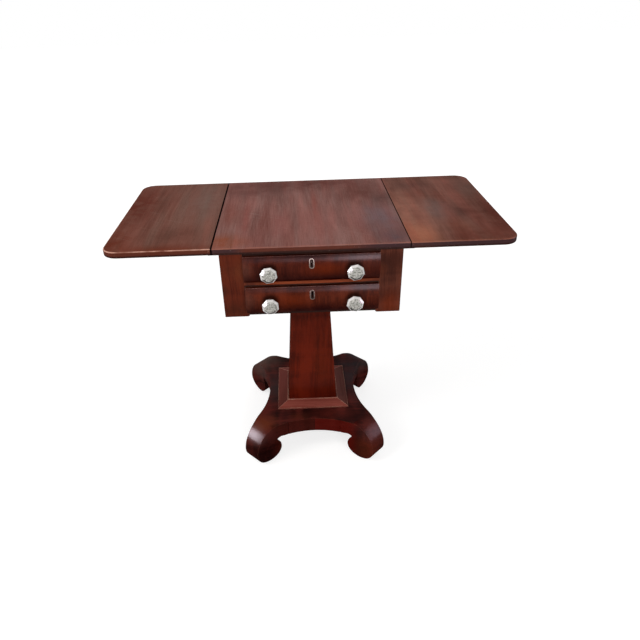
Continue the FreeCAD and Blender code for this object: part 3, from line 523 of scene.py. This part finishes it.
TONE_STREAK = ((34.0, 3.0, 3.0), 2.0)
TONE_STEP = (0.34, 0.66)
REDDER = (1.07, 0.98, 0.97)
GREYER = (0.96, 1.03, 1.04)

# How level a face is where the edge colour and the worn arris start and count in full
EDGE_FACING = (0.45, 0.15)
ARRIS_STEEP = (0.30, 0.55)
ARRIS_LEVEL = (0.985, 0.93)
EDGE_SHARE = 0.9
EDGE_BROWN = (0.110, 0.027, 0.016)
# Below the edge band the edge faces are painted dark as the shade under the top.
EDGE_SHADE = (0.014, 0.005, 0.004)
EDGE_PURPLE = (0.042, 0.020, 0.024)
# A pale arris colour, partly wear and partly a painted highlight along the leaf's front edge.
LIGHT_EDGE = (0.560, 0.310, 0.235)
PURPLE_LEFT = (-0.19, -0.15)
PURPLE_RIGHT = (0.08, 0.16)
WORN = ((24.0, 24.0, 24.0), 3.0, 0.6)
WORN_STEP = (0.38, 0.60)
WORN_LEAST = 0.15


def on_top(*spots):
    """Stains on the top face, given in X and Y."""
    return [((*centre, TOP_FACE), (*reach, TOP_REACH), *rest) for centre, reach, *rest in spots]


def from_seam(paint):
    """How far a place is from the nearer seam between board and leaf. The right seam is narrower, so
    its distances count for more."""
    across = paint.parts(paint.place)[0]
    off = paint.math("SUBTRACT", paint.math("ABSOLUTE", across), LEAF_SEAM)
    return paint.product(
        paint.math("ABSOLUTE", off), paint.step(across, *SEAM_SIDES, 1.0, NARROW_SEAM)
    )


def out_of_seam(paint):
    """0 in the seams between board and leaves, and 1 elsewhere."""
    return paint.step(from_seam(paint), *SEAM_DIRT)


def top_edges(arris_colour, arris_share):
    """Redder and greyer streaks, edge faces in brown and, towards the sides, purple, with painted
    shade in their lower band, under a worn arris that on the left leaf is painted pale also as its
    highlight, and dirt in the seams between board and leaves."""

    def paint_edges(paint, colour):
        streak = paint.stretched_noise(paint.place, *TONE_STREAK)
        tone = paint.mix(paint.step(streak, *TONE_STEP), GREYER, REDDER)
        colour = paint.mix(1.0, colour, tone, "MULTIPLY")
        level = paint.math("ABSOLUTE", paint.parts(paint.facing)[2])
        side = paint.step(level, *EDGE_FACING, 0.0, EDGE_SHARE)
        across, _, high = paint.parts(paint.place)
        on_board = paint.math("GREATER_THAN", across, -LEAF_SEAM)
        purple = paint.product(on_board, paint.fade(across, *PURPLE_LEFT))
        purple = paint.math("MAXIMUM", purple, paint.step(across, *PURPLE_RIGHT))
        edge = paint.mix(purple, EDGE_BROWN, EDGE_PURPLE)
        colour = paint.mix(side, colour, paint.mix(paint.step(high, *EDGE_BAND), EDGE_SHADE, edge))
        worn = paint.stretched_noise(paint.place, *WORN)
        arris = paint.product(
            paint.step(level, *ARRIS_STEEP),
            paint.step(level, *ARRIS_LEVEL),
            paint.step(high, *UPPER_BAND),
            paint.step(worn, *WORN_STEP, WORN_LEAST, arris_share),
        )
        colour = paint.mix(arris, colour, arris_colour)
        return paint.mix(out_of_seam(paint), SEAM_BLACK, colour)

    return paint_edges


def upper_edges(paint):
    """1 along the upper edges, except at the seams."""
    upper = paint.step(paint.parts(paint.place)[2], *UPPER_BAND)
    return paint.product(upper, paint.step(from_seam(paint), *SEAM_RUBBED))


TOPS = {
    "top_board": {
        "dark": (0.130, 0.046, 0.037),
        "light": (0.300, 0.145, 0.126),
        "seed": 1,
        "contrast": 0.8,
        "scuffs": 0.5,
        "wear": (0.330, 0.130, 0.090),
        "wear_share": 0.45,
        "stains": on_top(
            ((-0.205, -0.030), (0.055, 0.170), (0.225, 0.080, 0.058), 0.65),
            ((-0.205, -0.215), (0.080, 0.075), (0.300, 0.085, 0.034), 0.90),
            ((-0.165, -0.060), (0.022, 0.200), (0.260, 0.080, 0.066), 0.55),
            ((-0.075, -0.110), (0.030, 0.150), (0.300, 0.110, 0.098), 0.55),
            ((0.020, 0.000), (0.014, 0.250), (0.320, 0.105, 0.080), 0.50),
            ((0.120, -0.050), (0.060, 0.120), (0.350, 0.190, 0.170), 0.65),
            # Painted sheen: a grey-purple patch for the reflection on the right of the board.
            ((0.185, -0.090), (0.085, 0.170), (0.240, 0.166, 0.182), 0.85),
            ((0.205, -0.220), (0.070, 0.070), (0.140, 0.095, 0.108), 0.80),
            ((0.215, 0.060), (0.070, 0.100), (0.120, 0.068, 0.062), 0.80),
            ((0.030, -0.100), (0.140, 0.170), (0.310, 0.140, 0.122), 0.60),
            ((0.150, 0.130), (0.150, 0.120), (0.130, 0.046, 0.033), 0.60),
            ((-0.030, 0.215), (0.340, 0.095), (0.110, 0.026, 0.018), 0.80),
            ((-0.160, 0.170), (0.190, 0.120), (0.150, 0.068, 0.058), 0.85),
        ),
    },
    "leaf_left": {
        "dark": (0.094, 0.035, 0.024),
        "light": (0.195, 0.084, 0.062),
        "seed": 2,
        "contrast": 0.85,
        "scuffs": 0.25,
        # Worn arris painted pale, also standing for the highlight along it.
        "wear": LIGHT_EDGE,
        "wear_share": 0.85,
        "stains": on_top(
            ((-0.480, 0.060), (0.130, 0.300), (0.140, 0.024, 0.010), 0.95),
            ((-0.480, -0.200), (0.090, 0.150), (0.150, 0.030, 0.011), 0.9),
            ((-0.350, -0.250), (0.200, 0.055), (0.170, 0.036, 0.014), 0.9),
            ((-0.278, 0.090), (0.098, 0.260), (0.250, 0.160, 0.132), 0.88),
            ((-0.335, -0.165), (0.120, 0.110), (0.129, 0.0515, 0.0344), 0.70),
        ),
    },
    "leaf_right": {
        "dark": (0.092, 0.031, 0.020),
        "light": (0.235, 0.092, 0.068),
        "seed": 3,
        "contrast": 0.9,
        "curl": 0.18,
        "scuffs": 0.25,
        "wear": (0.330, 0.130, 0.085),
        "wear_share": 0.45,
        "stains": on_top(
            ((0.262, -0.200), (0.068, 0.130), (0.540, 0.215, 0.108), 0.88),
            ((0.262, -0.060), (0.085, 0.280), (0.430, 0.210, 0.150), 0.85),
            ((0.395, -0.055), (0.060, 0.120), (0.088, 0.034, 0.026), 0.80),
            ((0.340, -0.035), (0.055, 0.120), (0.235, 0.165, 0.150), 0.80),
            ((0.310, 0.160), (0.090, 0.070), (0.090, 0.036, 0.032), 0.35),
            ((0.375, -0.160), (0.050, 0.080), (0.210, 0.075, 0.045), 0.6),
            ((0.475, -0.110), (0.095, 0.230), (0.120, 0.026, 0.014), 0.95),
            ((0.470, 0.140), (0.080, 0.130), (0.170, 0.098, 0.078), 0.70),
            ((0.300, 0.085), (0.045, 0.075), (0.235, 0.070, 0.046), 0.60),
            ((0.400, -0.225), (0.130, 0.075), (0.140, 0.036, 0.020), 0.8),
            ((0.435, 0.185), (0.070, 0.075), (0.313, 0.131, 0.100), 0.65),
            ((0.405, 0.055), (0.048, 0.095), (0.313, 0.131, 0.100), 0.60),
            ((0.365, -0.065), (0.042, 0.085), (0.313, 0.131, 0.100), 0.60),
            ((0.306, 0.060), (0.022, 0.110), (0.200, 0.085, 0.062), 0.55),
            ((0.280, -0.080), (0.022, 0.090), (0.200, 0.085, 0.066), 0.50),
        ),
    },
}
for name, look in TOPS.items():
    clad(
        wood(
            f"{name}_mahogany",
            grain=ALONG_Y,
            polish=0.06,
            polish_rough=0.30,
            wear_wide=0.0032,
            extra=top_edges(look["wear"], look["wear_share"]),
            rubbed_where=upper_edges,
            polished_where=out_of_seam,
            **look,
        ),
        name,
    )

# Case and drawers. The drawer fronts swell out past the case.

CASE_FACE = -0.25
DRAWER_FACE = -0.26
DRAWER_SWELL = -0.262
FRONT_REACH = 0.05


def on_front(face, *spots):
    """Stains or burnished places on a front face, given in X and Z."""
    return [
        ((centre[0], face, centre[1]), (reach[0], FRONT_REACH, reach[1]), *rest)
        for centre, reach, *rest in spots
    ]


POSTS = {
    "left": {
        "dark": (0.050, 0.006, 0.002),
        "light": (0.120, 0.018, 0.006),
        "seed": 4,
        "stains": on_front(
            CASE_FACE,
            ((-0.190, 0.672), (0.060, 0.055), (0.180, 0.036, 0.013), 0.80),
            ((-0.172, 0.665), (0.022, 0.060), (0.230, 0.056, 0.020), 0.80),
            ((-0.190, 0.560), (0.060, 0.045), (0.082, 0.0176, 0.006), 0.85),
            ((-0.216, 0.615), (0.022, 0.028), (0.080, 0.020, 0.008), 0.80),
        ),
    },
    "right": {
        "dark": (0.055, 0.012, 0.006),
        "light": (0.135, 0.035, 0.020),
        "seed": 5,
        "stains": on_front(
            CASE_FACE,
            ((0.168, 0.662), (0.020, 0.026), (0.228, 0.052, 0.020), 0.80),
            ((0.190, 0.566), (0.040, 0.058), (0.300, 0.041, 0.005), 1.0),
        ),
    },
}
for side, look in POSTS.items():
    clad(
        wood(
            f"front_post_{side}_mahogany",
            grain=ALONG_Z,
            bands=60.0,
            contrast=1.4,
            curl=0.35,
            wear=WARM_EDGE,
            wear_share=0.4,
            **look,
        ),
        f"front_post_{side}",
        f"rear_post_{side}",
    )

MIDDLE_RAIL_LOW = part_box("middle_rail")[0][2]
# The lower edge of the middle rail is painted dark as the shade of the gap above the lower drawer.
RAIL_GAP_SHADE = (0.0020, 0.0040)
RAIL_GAP_SHADE_SHARE = 0.95
GAP_SHADE = (0.012, 0.005, 0.004)


def rail_gap_shade(paint, colour):
    """Painted shade along the lower edge of the middle rail, for the dark gap above the lower drawer.
    """
    high = paint.math("SUBTRACT", paint.parts(paint.place)[2], MIDDLE_RAIL_LOW)
    return paint.mix(paint.fade(high, *RAIL_GAP_SHADE, RAIL_GAP_SHADE_SHARE), colour, GAP_SHADE)


clad(
    wood(
        "middle_rail_mahogany",
        dark=(0.175, 0.028, 0.010),
        light=(0.370, 0.080, 0.029),
        grain=ALONG_X,
        seed=6,
        wear=WARM_EDGE,
        stains=on_front(
            CASE_FACE,
            ((-0.160, MIDDLE_RAIL_LOW), (0.062, 0.030), (0.045, 0.016, 0.015), 0.95),
            ((0.165, MIDDLE_RAIL_LOW), (0.100, 0.030), (0.100, 0.036, 0.023), 0.90),
        ),
        extra=rail_gap_shade,
    ),
    "middle_rail",
)
# The top rail and the bottom board are painted nearly black as the shade they sit in, under the top
# and under the swelled lower drawer.
clad(
    wood(
        "rail_painted_shade_mahogany",
        dark=(0.012, 0.003, 0.002),
        light=(0.040, 0.009, 0.005),
        grain=ALONG_X,
        seed=16,
        wear=(0.060, 0.020, 0.012),
    ),
    "top_rail",
    "bottom_board",
)
clad(
    wood(
        "side_mahogany",
        dark=(0.060, 0.014, 0.008),
        light=(0.135, 0.036, 0.020),
        grain=ALONG_Y,
        seed=7,
        curl=0.2,
        wear=WARM_EDGE,
    ),
    "side_panel_left",
    "side_panel_right",
    "fly_bracket_left",
    "fly_bracket_right",
)

# Pine tails show in the ends of the drawer fronts. Round the knobs dirt and painted shade darken the
# front, the shade standing for the knob's shadow and dark reflection in the polish.
PINE_DARK = (0.310, 0.160, 0.072)
PINE_LIGHT = (0.490, 0.300, 0.160)
PINE_FIBRE = ((400.0, 12.0, 400.0), 2.0)
TAIL_DEEP = 0.012
TAIL_STEP = 0.0185
TAIL_HALF = 0.0042
TAIL_FLARE = 0.22
END_FACE = 0.1618
KNOB_PLACE = 0.1018
# Dirt with painted shade round each knob: the dark stands for the knob's shadow and reflection in the
# polish.
KNOB_DIRT_SHADE = (0.010, 0.003, 0.002)
KNOB_DIRT_SHADE_RISE = 0.004
KNOB_DIRT_SHADE_REACH = (0.027, 0.05, 0.020)
KNOB_DIRT_SHADE_FLAT = 0.45
KNOB_DIRT_SHADE_SHARE = 0.85
TOP_ARRIS = (0.0030, 0.0018)


def drawer_front_marks(low_front, back, middle):
    """Dirt and painted shade round the knobs, and the pine tails of the drawer side, let into the end
    of the front.
    """

    def paint_marks(paint, colour):
        for side in (-1, 1):
            # Painted shade with dirt round each knob, a little above its middle.
            centre = (KNOB_PLACE * side, DRAWER_SWELL, middle + KNOB_DIRT_SHADE_RISE)
            darkening = paint.spot(centre, KNOB_DIRT_SHADE_REACH, KNOB_DIRT_SHADE_FLAT)
            colour = paint.mix(paint.product(darkening, KNOB_DIRT_SHADE_SHARE), colour, KNOB_DIRT_SHADE)
        across, fore, high = paint.parts(paint.place)
        on_end = paint.math("GREATER_THAN", paint.math("ABSOLUTE", across), END_FACE)
        deep = paint.math("SUBTRACT", back, fore)
        near_back = paint.math("LESS_THAN", deep, TAIL_DEEP)
        rise = paint.math("SUBTRACT", high, low_front)
        off = paint.math("ABSOLUTE", paint.math("PINGPONG", rise, TAIL_STEP * 0.5))
        half = paint.sum(paint.product(deep, TAIL_FLARE), TAIL_HALF)
        in_tail = paint.math("GREATER_THAN", off, paint.math("SUBTRACT", TAIL_STEP * 0.5, half))
        tail = paint.product(on_end, near_back, in_tail)
        fibre = paint.stretched_noise(paint.place, *PINE_FIBRE)
        return paint.mix(tail, colour, paint.mix(fibre, PINE_DARK, PINE_LIGHT))

    return paint_marks


def along_top(highest):
    """1 along the upper arris of a drawer front, and 0 elsewhere."""
    limits = [highest - off for off in TOP_ARRIS]

    def near_top(paint):
        return paint.step(paint.parts(paint.place)[2], *limits)

    return near_top


# Each drawer's wear colour lies only along its top arris, painted pale partly as wear and partly as
# the highlight along that arris.
DRAWERS = {
    "upper": {
        "seed": 8,
        "polish": 0.050,
        "shine": 0.125,
        "wear": (0.340, 0.170, 0.150),
        "top_shade": 0.95,
        "dark": (0.030, 0.0055, 0.004),
        "light": (0.105, 0.018, 0.009),
        "flame": (0.030, (0.270, 0.036, 0.006)),
    },
    "lower": {
        "seed": 9,
        "polish": 0.035,
        "shine": 0.100,
        "wear": (0.520, 0.280, 0.250),
        "top_shade": 0.70,
        "dark": (0.040, 0.007, 0.004),
        "light": (0.140, 0.026, 0.012),
        "flame": (-0.050, (0.230, 0.032, 0.006)),
    },
}
for level, look in DRAWERS.items():
    flame_place, flame_colour = look["flame"]
    low_corner, high_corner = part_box(f"drawer_{level}_front")
    low, high = low_corner[2], high_corner[2]
    middle = (low + high) * 0.5
    clad(
        wood(
            f"drawer_{level}_mahogany",
            dark=look["dark"],
            light=look["light"],
            grain=ALONG_Z,
            seed=look["seed"],
            bands=55.0,
            contrast=1.2,
            curl=0.15,
            polish=look["polish"],
            burnished=on_front(
                DRAWER_SWELL,
                ((0.130, high - 0.006), (0.120, 0.032), look["shine"]),
                ((-0.110, high), (0.130, 0.012), 0.03),
            ),
            # The top arris is painted pale: worn, and a painted highlight along it.
            wear=look["wear"],
            wear_share=0.9,
            rubbed_where=along_top(high),
            stains=on_front(
                DRAWER_FACE,
                ((flame_place, middle - 0.005), (0.085, 0.040), flame_colour, 0.85),
                ((-0.165, middle), (0.038, 0.050), (0.225, 0.085, 0.060), 0.75),
                # Painted shade: the front darker towards its bottom, and a dark band under its top
                # edge, as deep as top_shade.
                ((0.0, low), (0.400, 0.046), (0.036, 0.0006, 0.0004), 1.0),
                ((0.0, high), (0.400, 0.020), (0.022, 0.002, 0.001), look["top_shade"]),
            ),
            extra=drawer_front_marks(low, high_corner[1], middle),
        ),
        f"drawer_{level}_front",
    )

# Column, plinth and base

clad(
    wood(
        "column_mahogany",
        dark=(0.062, 0.0055, 0.0015),
        light=(0.150, 0.0140, 0.0040),
        grain=ALONG_Z,
        seed=10,
        bands=60.0,
        contrast=1.45,
        curl=0.25,
        polish=0.07,
        wear=WARM_EDGE,
        wear_share=0.3,
        stains=(
            ((0.030, -0.070, 0.25), (0.040, 0.050, 0.160), (0.170, 0.022, 0.005), 0.7),
            ((0.0, -0.060, 0.52), (0.200, 0.200, 0.110), (0.190, 0.0300, 0.0100), 0.7),
            ((0.0, -0.080, 0.14), (0.200, 0.200, 0.120), (0.076, 0.0062, 0.0040), 0.6),
            # Painted shade: a dark stripe down the left of the column's front.
            ((-0.070, -0.070, 0.30), (0.012, 0.060, 0.300), (0.090, 0.0120, 0.0050), 0.8),
        ),
    ),
    "column",
)

# The plinth's arrises are painted pale in full, partly as wear and partly as the highlight along each
# edge.
PLINTH_WORN_LIT_EDGE = (0.55, 0.30, 0.22)
PLINTHS = {
    "front": {"dark": (0.135, 0.026, 0.018), "light": (0.255, 0.066, 0.050), "grain": ALONG_X},
    "back": {"dark": (0.110, 0.024, 0.017), "light": (0.210, 0.054, 0.042), "grain": ALONG_X},
    "left": {"dark": (0.085, 0.018, 0.013), "light": (0.160, 0.040, 0.032), "grain": ALONG_Y},
    "right": {"dark": (0.068, 0.019, 0.014), "light": (0.125, 0.041, 0.034), "grain": ALONG_Y},
}
for seed, (name, look) in enumerate(PLINTHS.items(), start=11):
    clad(
        wood(
            f"plinth_{name}_mahogany",
            seed=seed,
            polish=0.06,
            wear=PLINTH_WORN_LIT_EDGE,
            wear_share=1.0,
            wear_wide=0.0024,
            **look,
        ),
        f"plinth_{name}",
    )

# The seams to the feet run at 45 degrees, where X and Y together come to FOOT_SEAM.
FOOT_SEAM = 0.175 * math.sqrt(2)
FOOT_SEAM_WIDE = (0.0045, 0.0075)
FLOOR_DULL = (0.055, 0.090)
FLOOR_POLISH = 0.25
PLATFORM_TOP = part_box("base_platform")[1][2]
FRONT_HALF = (0.10, 0.14)
FRONT_FACE = -0.10
VENEER_JOINT = 0.002
VENEER_LINE = 0.0004
VENEER_SHARE = 0.7
VENEER_DIRT = (0.012, 0.003, 0.002)
LEFT_VENEER = (0.046, 0.0050, 0.0025)
RIGHT_VENEER = (0.105, 0.0045, 0.0020)


def front_veneers(paint, colour):
    """Two veneers that meet in the middle of the platform's hollow front face."""
    across, fore, high = paint.parts(paint.place)
    below = paint.math("LESS_THAN", high, PLATFORM_TOP - VENEER_LINE)
    middle = paint.fade(paint.math("ABSOLUTE", across), *FRONT_HALF)
    front = paint.product(below, middle, paint.math("LESS_THAN", fore, FRONT_FACE))
    right = paint.math("GREATER_THAN", across, VENEER_JOINT)
    veneer = paint.mix(right, LEFT_VENEER, RIGHT_VENEER)
    colour = paint.mix(paint.product(front, VENEER_SHARE), colour, veneer)
    off = paint.math("ABSOLUTE", paint.math("SUBTRACT", across, VENEER_JOINT))
    line = paint.product(front, paint.math("LESS_THAN", off, VENEER_LINE))
    return paint.mix(line, colour, VENEER_DIRT)


def off_the_seams(paint):
    """0 at the seams between platform and feet, which the veneer covers, and 1 elsewhere."""
    across, fore, _ = paint.parts(paint.place)
    reach = paint.sum(paint.math("ABSOLUTE", across), paint.math("ABSOLUTE", fore))
    off = paint.math("ABSOLUTE", paint.math("SUBTRACT", reach, FOOT_SEAM))
    return paint.step(off, *FOOT_SEAM_WIDE)


def off_the_floor(paint):
    """The share of the polish that is left: little near the floor, and all of it higher up."""
    return paint.step(paint.parts(paint.place)[2], *FLOOR_DULL, FLOOR_POLISH, 1.0)


clad(
    wood(
        "base_mahogany",
        dark=(0.018, 0.0040, 0.0035),
        light=(0.085, 0.0140, 0.0110),
        grain=ALONG_X,
        seed=15,
        bands=50.0,
        curl=0.4,
        contrast=1.7,
        polish=0.03,
        polish_rough=0.23,
        burnished=(
            ((-0.190, -0.190, 0.100), (0.060, 0.060, 0.044), 0.50),
            ((0.185, -0.195, 0.090), (0.060, 0.060, 0.055), 0.09),
        ),
        wear=(0.16, 0.05, 0.03),
        wear_share=0.7,
        stains=(
            ((-0.158, -0.165, 0.120), (0.070, 0.055, 0.030), (0.178, 0.046, 0.020), 0.95),
            ((-0.125, 0.010, 0.123), (0.070, 0.130, 0.020), (0.052, 0.038, 0.039), 0.9),
            ((0.140, 0.060, 0.123), (0.085, 0.200, 0.040), (0.066, 0.050, 0.055), 0.95),
            ((-0.180, 0.170, 0.110), (0.120, 0.120, 0.080), (0.148, 0.096, 0.082), 0.95),
            ((0.190, 0.190, 0.100), (0.080, 0.080, 0.060), (0.098, 0.068, 0.069), 0.9),
            ((-0.040, -0.145, 0.123), (0.050, 0.030, 0.010), (0.118, 0.027, 0.015), 0.8),
            ((0.060, -0.135, 0.123), (0.100, 0.045, 0.010), (0.150, 0.024, 0.017), 0.85),
            ((0.150, -0.215, 0.040), (0.080, 0.060, 0.070), (0.180, 0.0340, 0.015), 0.9),
            ((0.205, -0.215, 0.040), (0.034, 0.060, 0.050), (0.110, 0.0300, 0.022), 0.8),
            ((0.175, -0.180, 0.105), (0.065, 0.060, 0.050), (0.145, 0.0370, 0.032), 0.85),
            ((-0.140, -0.215, 0.045), (0.090, 0.060, 0.090), (0.008, 0.0012, 0.0012), 1.0),
            ((-0.215, -0.190, 0.020), (0.050, 0.050, 0.050), (0.080, 0.0160, 0.012), 0.8),
        ),
        extra=front_veneers,
        rubbed_where=off_the_seams,
        polished_where=off_the_floor,
    ),
    "base_platform",
    "foot_front_left",
    "foot_front_right",
    "foot_rear_left",
    "foot_rear_right",
)

# Inside wood, metal and glass

pine = wood(
    "bare_pine",
    dark=PINE_DARK,
    light=PINE_LIGHT,
    grain=ALONG_Y,
    seed=20,
    bands=110.0,
    rough=0.62,
    polish=0.0,
)
clad(pine, *[n for n in nodes if nodes[n].data.materials[0].name == "secondary_wood"])

# Detail and roughness of the patches, the fine grain, and how it smooths and roughens the metal
METAL_PATCHES = (4.0, 0.6)
METAL_PATCH_STEP = (0.4, 0.65)
METAL_GRAIN = ((900.0, 900.0, 900.0), 2.0)
METAL_GRAIN_STEP = (0.3, 0.7)
METAL_SMOOTH = 0.08
METAL_ROUGH = 0.12
METAL_BUMP = (0.3, 0.0001)


def metal(name, colour, stain_colour, rough, fineness, extra=None):
    """Dull old metal, stained in patches."""
    paint = Paint(name)
    patch = paint.stretched_noise(paint.place, (fineness, fineness, fineness), *METAL_PATCHES)
    patch = paint.step(patch, *METAL_PATCH_STEP)
    fine = paint.stretched_noise(paint.place, *METAL_GRAIN)
    colour = paint.mix(patch, colour, stain_colour)
    if extra:
        colour = extra(paint, colour)
    gloss = paint.step(fine, *METAL_GRAIN_STEP, rough - METAL_SMOOTH, rough + METAL_ROUGH)
    bump = paint.bump(fine, *METAL_BUMP)
    return paint.finish(Base_Color=colour, Roughness=gloss, Metallic=1.0, Normal=bump)


brass = metal("old_brass", (0.42, 0.37, 0.33), (0.20, 0.15, 0.12), 0.42, 160.0)
iron = metal("old_iron", (0.30, 0.28, 0.26), (0.16, 0.10, 0.07), 0.5, 90.0)

ESCUTCHEON_LOBE = 0.00575
ESCUTCHEON_RIM = (0.0040, 0.0048)
# Round the keyhole the plate is painted nearly black.
KEYHOLE_DARK = (0.02, 0.012, 0.01)
KEYHOLE_DARK_SHARE = 0.95
ESCUTCHEONS = {
    "upper": ((0.25, 0.21, 0.18), (0.13, 0.11, 0.09)),
    "lower": ((0.13, 0.105, 0.090), (0.07, 0.055, 0.045)),
}


def dark_middle(level):
    """Only the rim of the escutcheon keeps its brass colour. Round the keyhole it is painted nearly
    black.
    """
    low_corner, high_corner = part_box(f"escutcheon_{level}")
    middle = (low_corner[2] + high_corner[2]) * 0.5

    def paint_rim(paint, colour):
        across, _, high = paint.parts(paint.place)
        rise = paint.math("ABSOLUTE", paint.math("SUBTRACT", high, middle))
        rise = paint.math("MAXIMUM", paint.math("SUBTRACT", rise, ESCUTCHEON_LOBE), 0.0)
        far = paint.length(paint.joined(across, rise, 0.0))
        darkening = paint.fade(far, *ESCUTCHEON_RIM, KEYHOLE_DARK_SHARE)
        return paint.mix(darkening, colour, KEYHOLE_DARK)

    return paint_rim


for level, (clean, stained) in ESCUTCHEONS.items():
    plate = metal(f"escutcheon_brass_{level}", clean, stained, 0.5, 160.0, dark_middle(level))
    clad(plate, f"escutcheon_{level}")
clad(
    brass,
    "lock_case_upper",
    "lock_case_lower",
    "lock_bolt_upper",
    "lock_bolt_lower",
)
clad(
    iron,
    "hinge_pins",
    "hinge_table_flaps",
    "hinge_table_screws",
    "leaf_left_hinge_flaps",
    "leaf_left_hinge_screws",
    "leaf_right_hinge_flaps",
    "leaf_right_hinge_screws",
    "bracket_pins",
    "case_screws",
    "knob_bolts_upper",
    "knob_bolts_lower",
)

# The bevels are painted white as the light the glass gathers, the line in the lower bevels as the
# dark wood they mirror, and the back as the dark wood seen through it.
GLASS_LIT_WHITE = (1.0, 0.97, 0.97)
GLASS_LIT_PALE = (0.88, 0.87, 0.86)
GLASS_DARK_REFLECTION = (0.020, 0.018, 0.016)
GLASS_BACK_SHADE = (0.090, 0.040, 0.030)
GLASS_FACE_DARK = (0.30, 0.30, 0.27)
GLASS_FACE_LIGHT = (0.80, 0.79, 0.74)
GLASS_RIPPLE = ((260.0, 260.0, 260.0), 2.0, 0.6)
GLASS_CLOUD = (0.38, 0.62)
GLASS_TINT = ((9.0, 9.0, 9.0), 1.0)
GLASS_TINT_STEP = (0.42, 0.58)
GLASS_BUMP = (0.15, 0.0004)
GLASS_ROUGH = 0.05
GLASS_IOR = 1.52
GLASS_CLEAR = 0.30

# How far to the front the flat face and the bevels of a knob look, and then depths behind its front
# and distances from its middle, in metres
FACING_FLAT = (-0.97, -0.90)
FACING_BEVEL = (-0.45, -0.25)
BEVEL_INNER = (0.0030, 0.0042)
BACK_DEEP = (0.0090, 0.0106)
LINE_BELOW = (-0.0075, -0.0040)
LINE_IN = (0.0106, 0.0118)
LINE_OUT = (0.0150, 0.0160)
LINE_SHARE = 0.9
KNOB_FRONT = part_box("knob_upper_left")[0][1]


def pressed_glass(level):
    """Old pressed glass: a cloudy face, bevels painted white for the light that the glass gathers, a
    painted dark reflection of the wood inside the lower bevels, and a back painted dark for the wood
    seen through it."""
    low_corner, high_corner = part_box(f"knob_{level}_left")
    middle = (low_corner[2] + high_corner[2]) * 0.5
    paint = Paint(f"pressed_glass_{level}")
    facing = paint.parts(paint.facing)[1]
    ripple = paint.stretched_noise(paint.place, *GLASS_RIPPLE)
    cloud = paint.step(ripple, *GLASS_CLOUD)
    tint = paint.stretched_noise(paint.facing, *GLASS_TINT)
    side, fore, high = paint.parts(paint.place)
    deep = paint.math("SUBTRACT", fore, KNOB_FRONT)
    aside = paint.math("SUBTRACT", paint.math("ABSOLUTE", side), KNOB_PLACE)
    rise = paint.math("SUBTRACT", high, middle)
    far = paint.length(paint.joined(aside, rise, 0.0))
    face = paint.fade(facing, *FACING_FLAT)
    bevel = paint.product(paint.fade(facing, *FACING_BEVEL), paint.step(facing, *FACING_FLAT))
    below = paint.fade(rise, *LINE_BELOW)
    ring = paint.product(paint.step(far, *LINE_IN), paint.fade(far, *LINE_OUT))
    # Painted light on the bevels, then a painted dark reflection and a painted dark back.
    colour = paint.mix(paint.step(tint, *GLASS_TINT_STEP), GLASS_LIT_WHITE, GLASS_LIT_PALE)
    inner = paint.product(bevel, paint.fade(deep, *BEVEL_INNER))
    face = paint.math("MAXIMUM", face, inner)
    colour = paint.mix(face, colour, paint.mix(cloud, GLASS_FACE_DARK, GLASS_FACE_LIGHT))
    colour = paint.mix(paint.product(below, ring, LINE_SHARE), colour, GLASS_DARK_REFLECTION)
    colour = paint.mix(paint.step(deep, *BACK_DEEP), colour, GLASS_BACK_SHADE)
    return paint.finish(
        Base_Color=colour,
        Roughness=GLASS_ROUGH,
        IOR=GLASS_IOR,
        Transmission_Weight=GLASS_CLEAR,
        Normal=paint.bump(ripple, *GLASS_BUMP),
    )


for level in ("upper", "lower"):
    clad(pressed_glass(level), f"knob_{level}_left", f"knob_{level}_right")
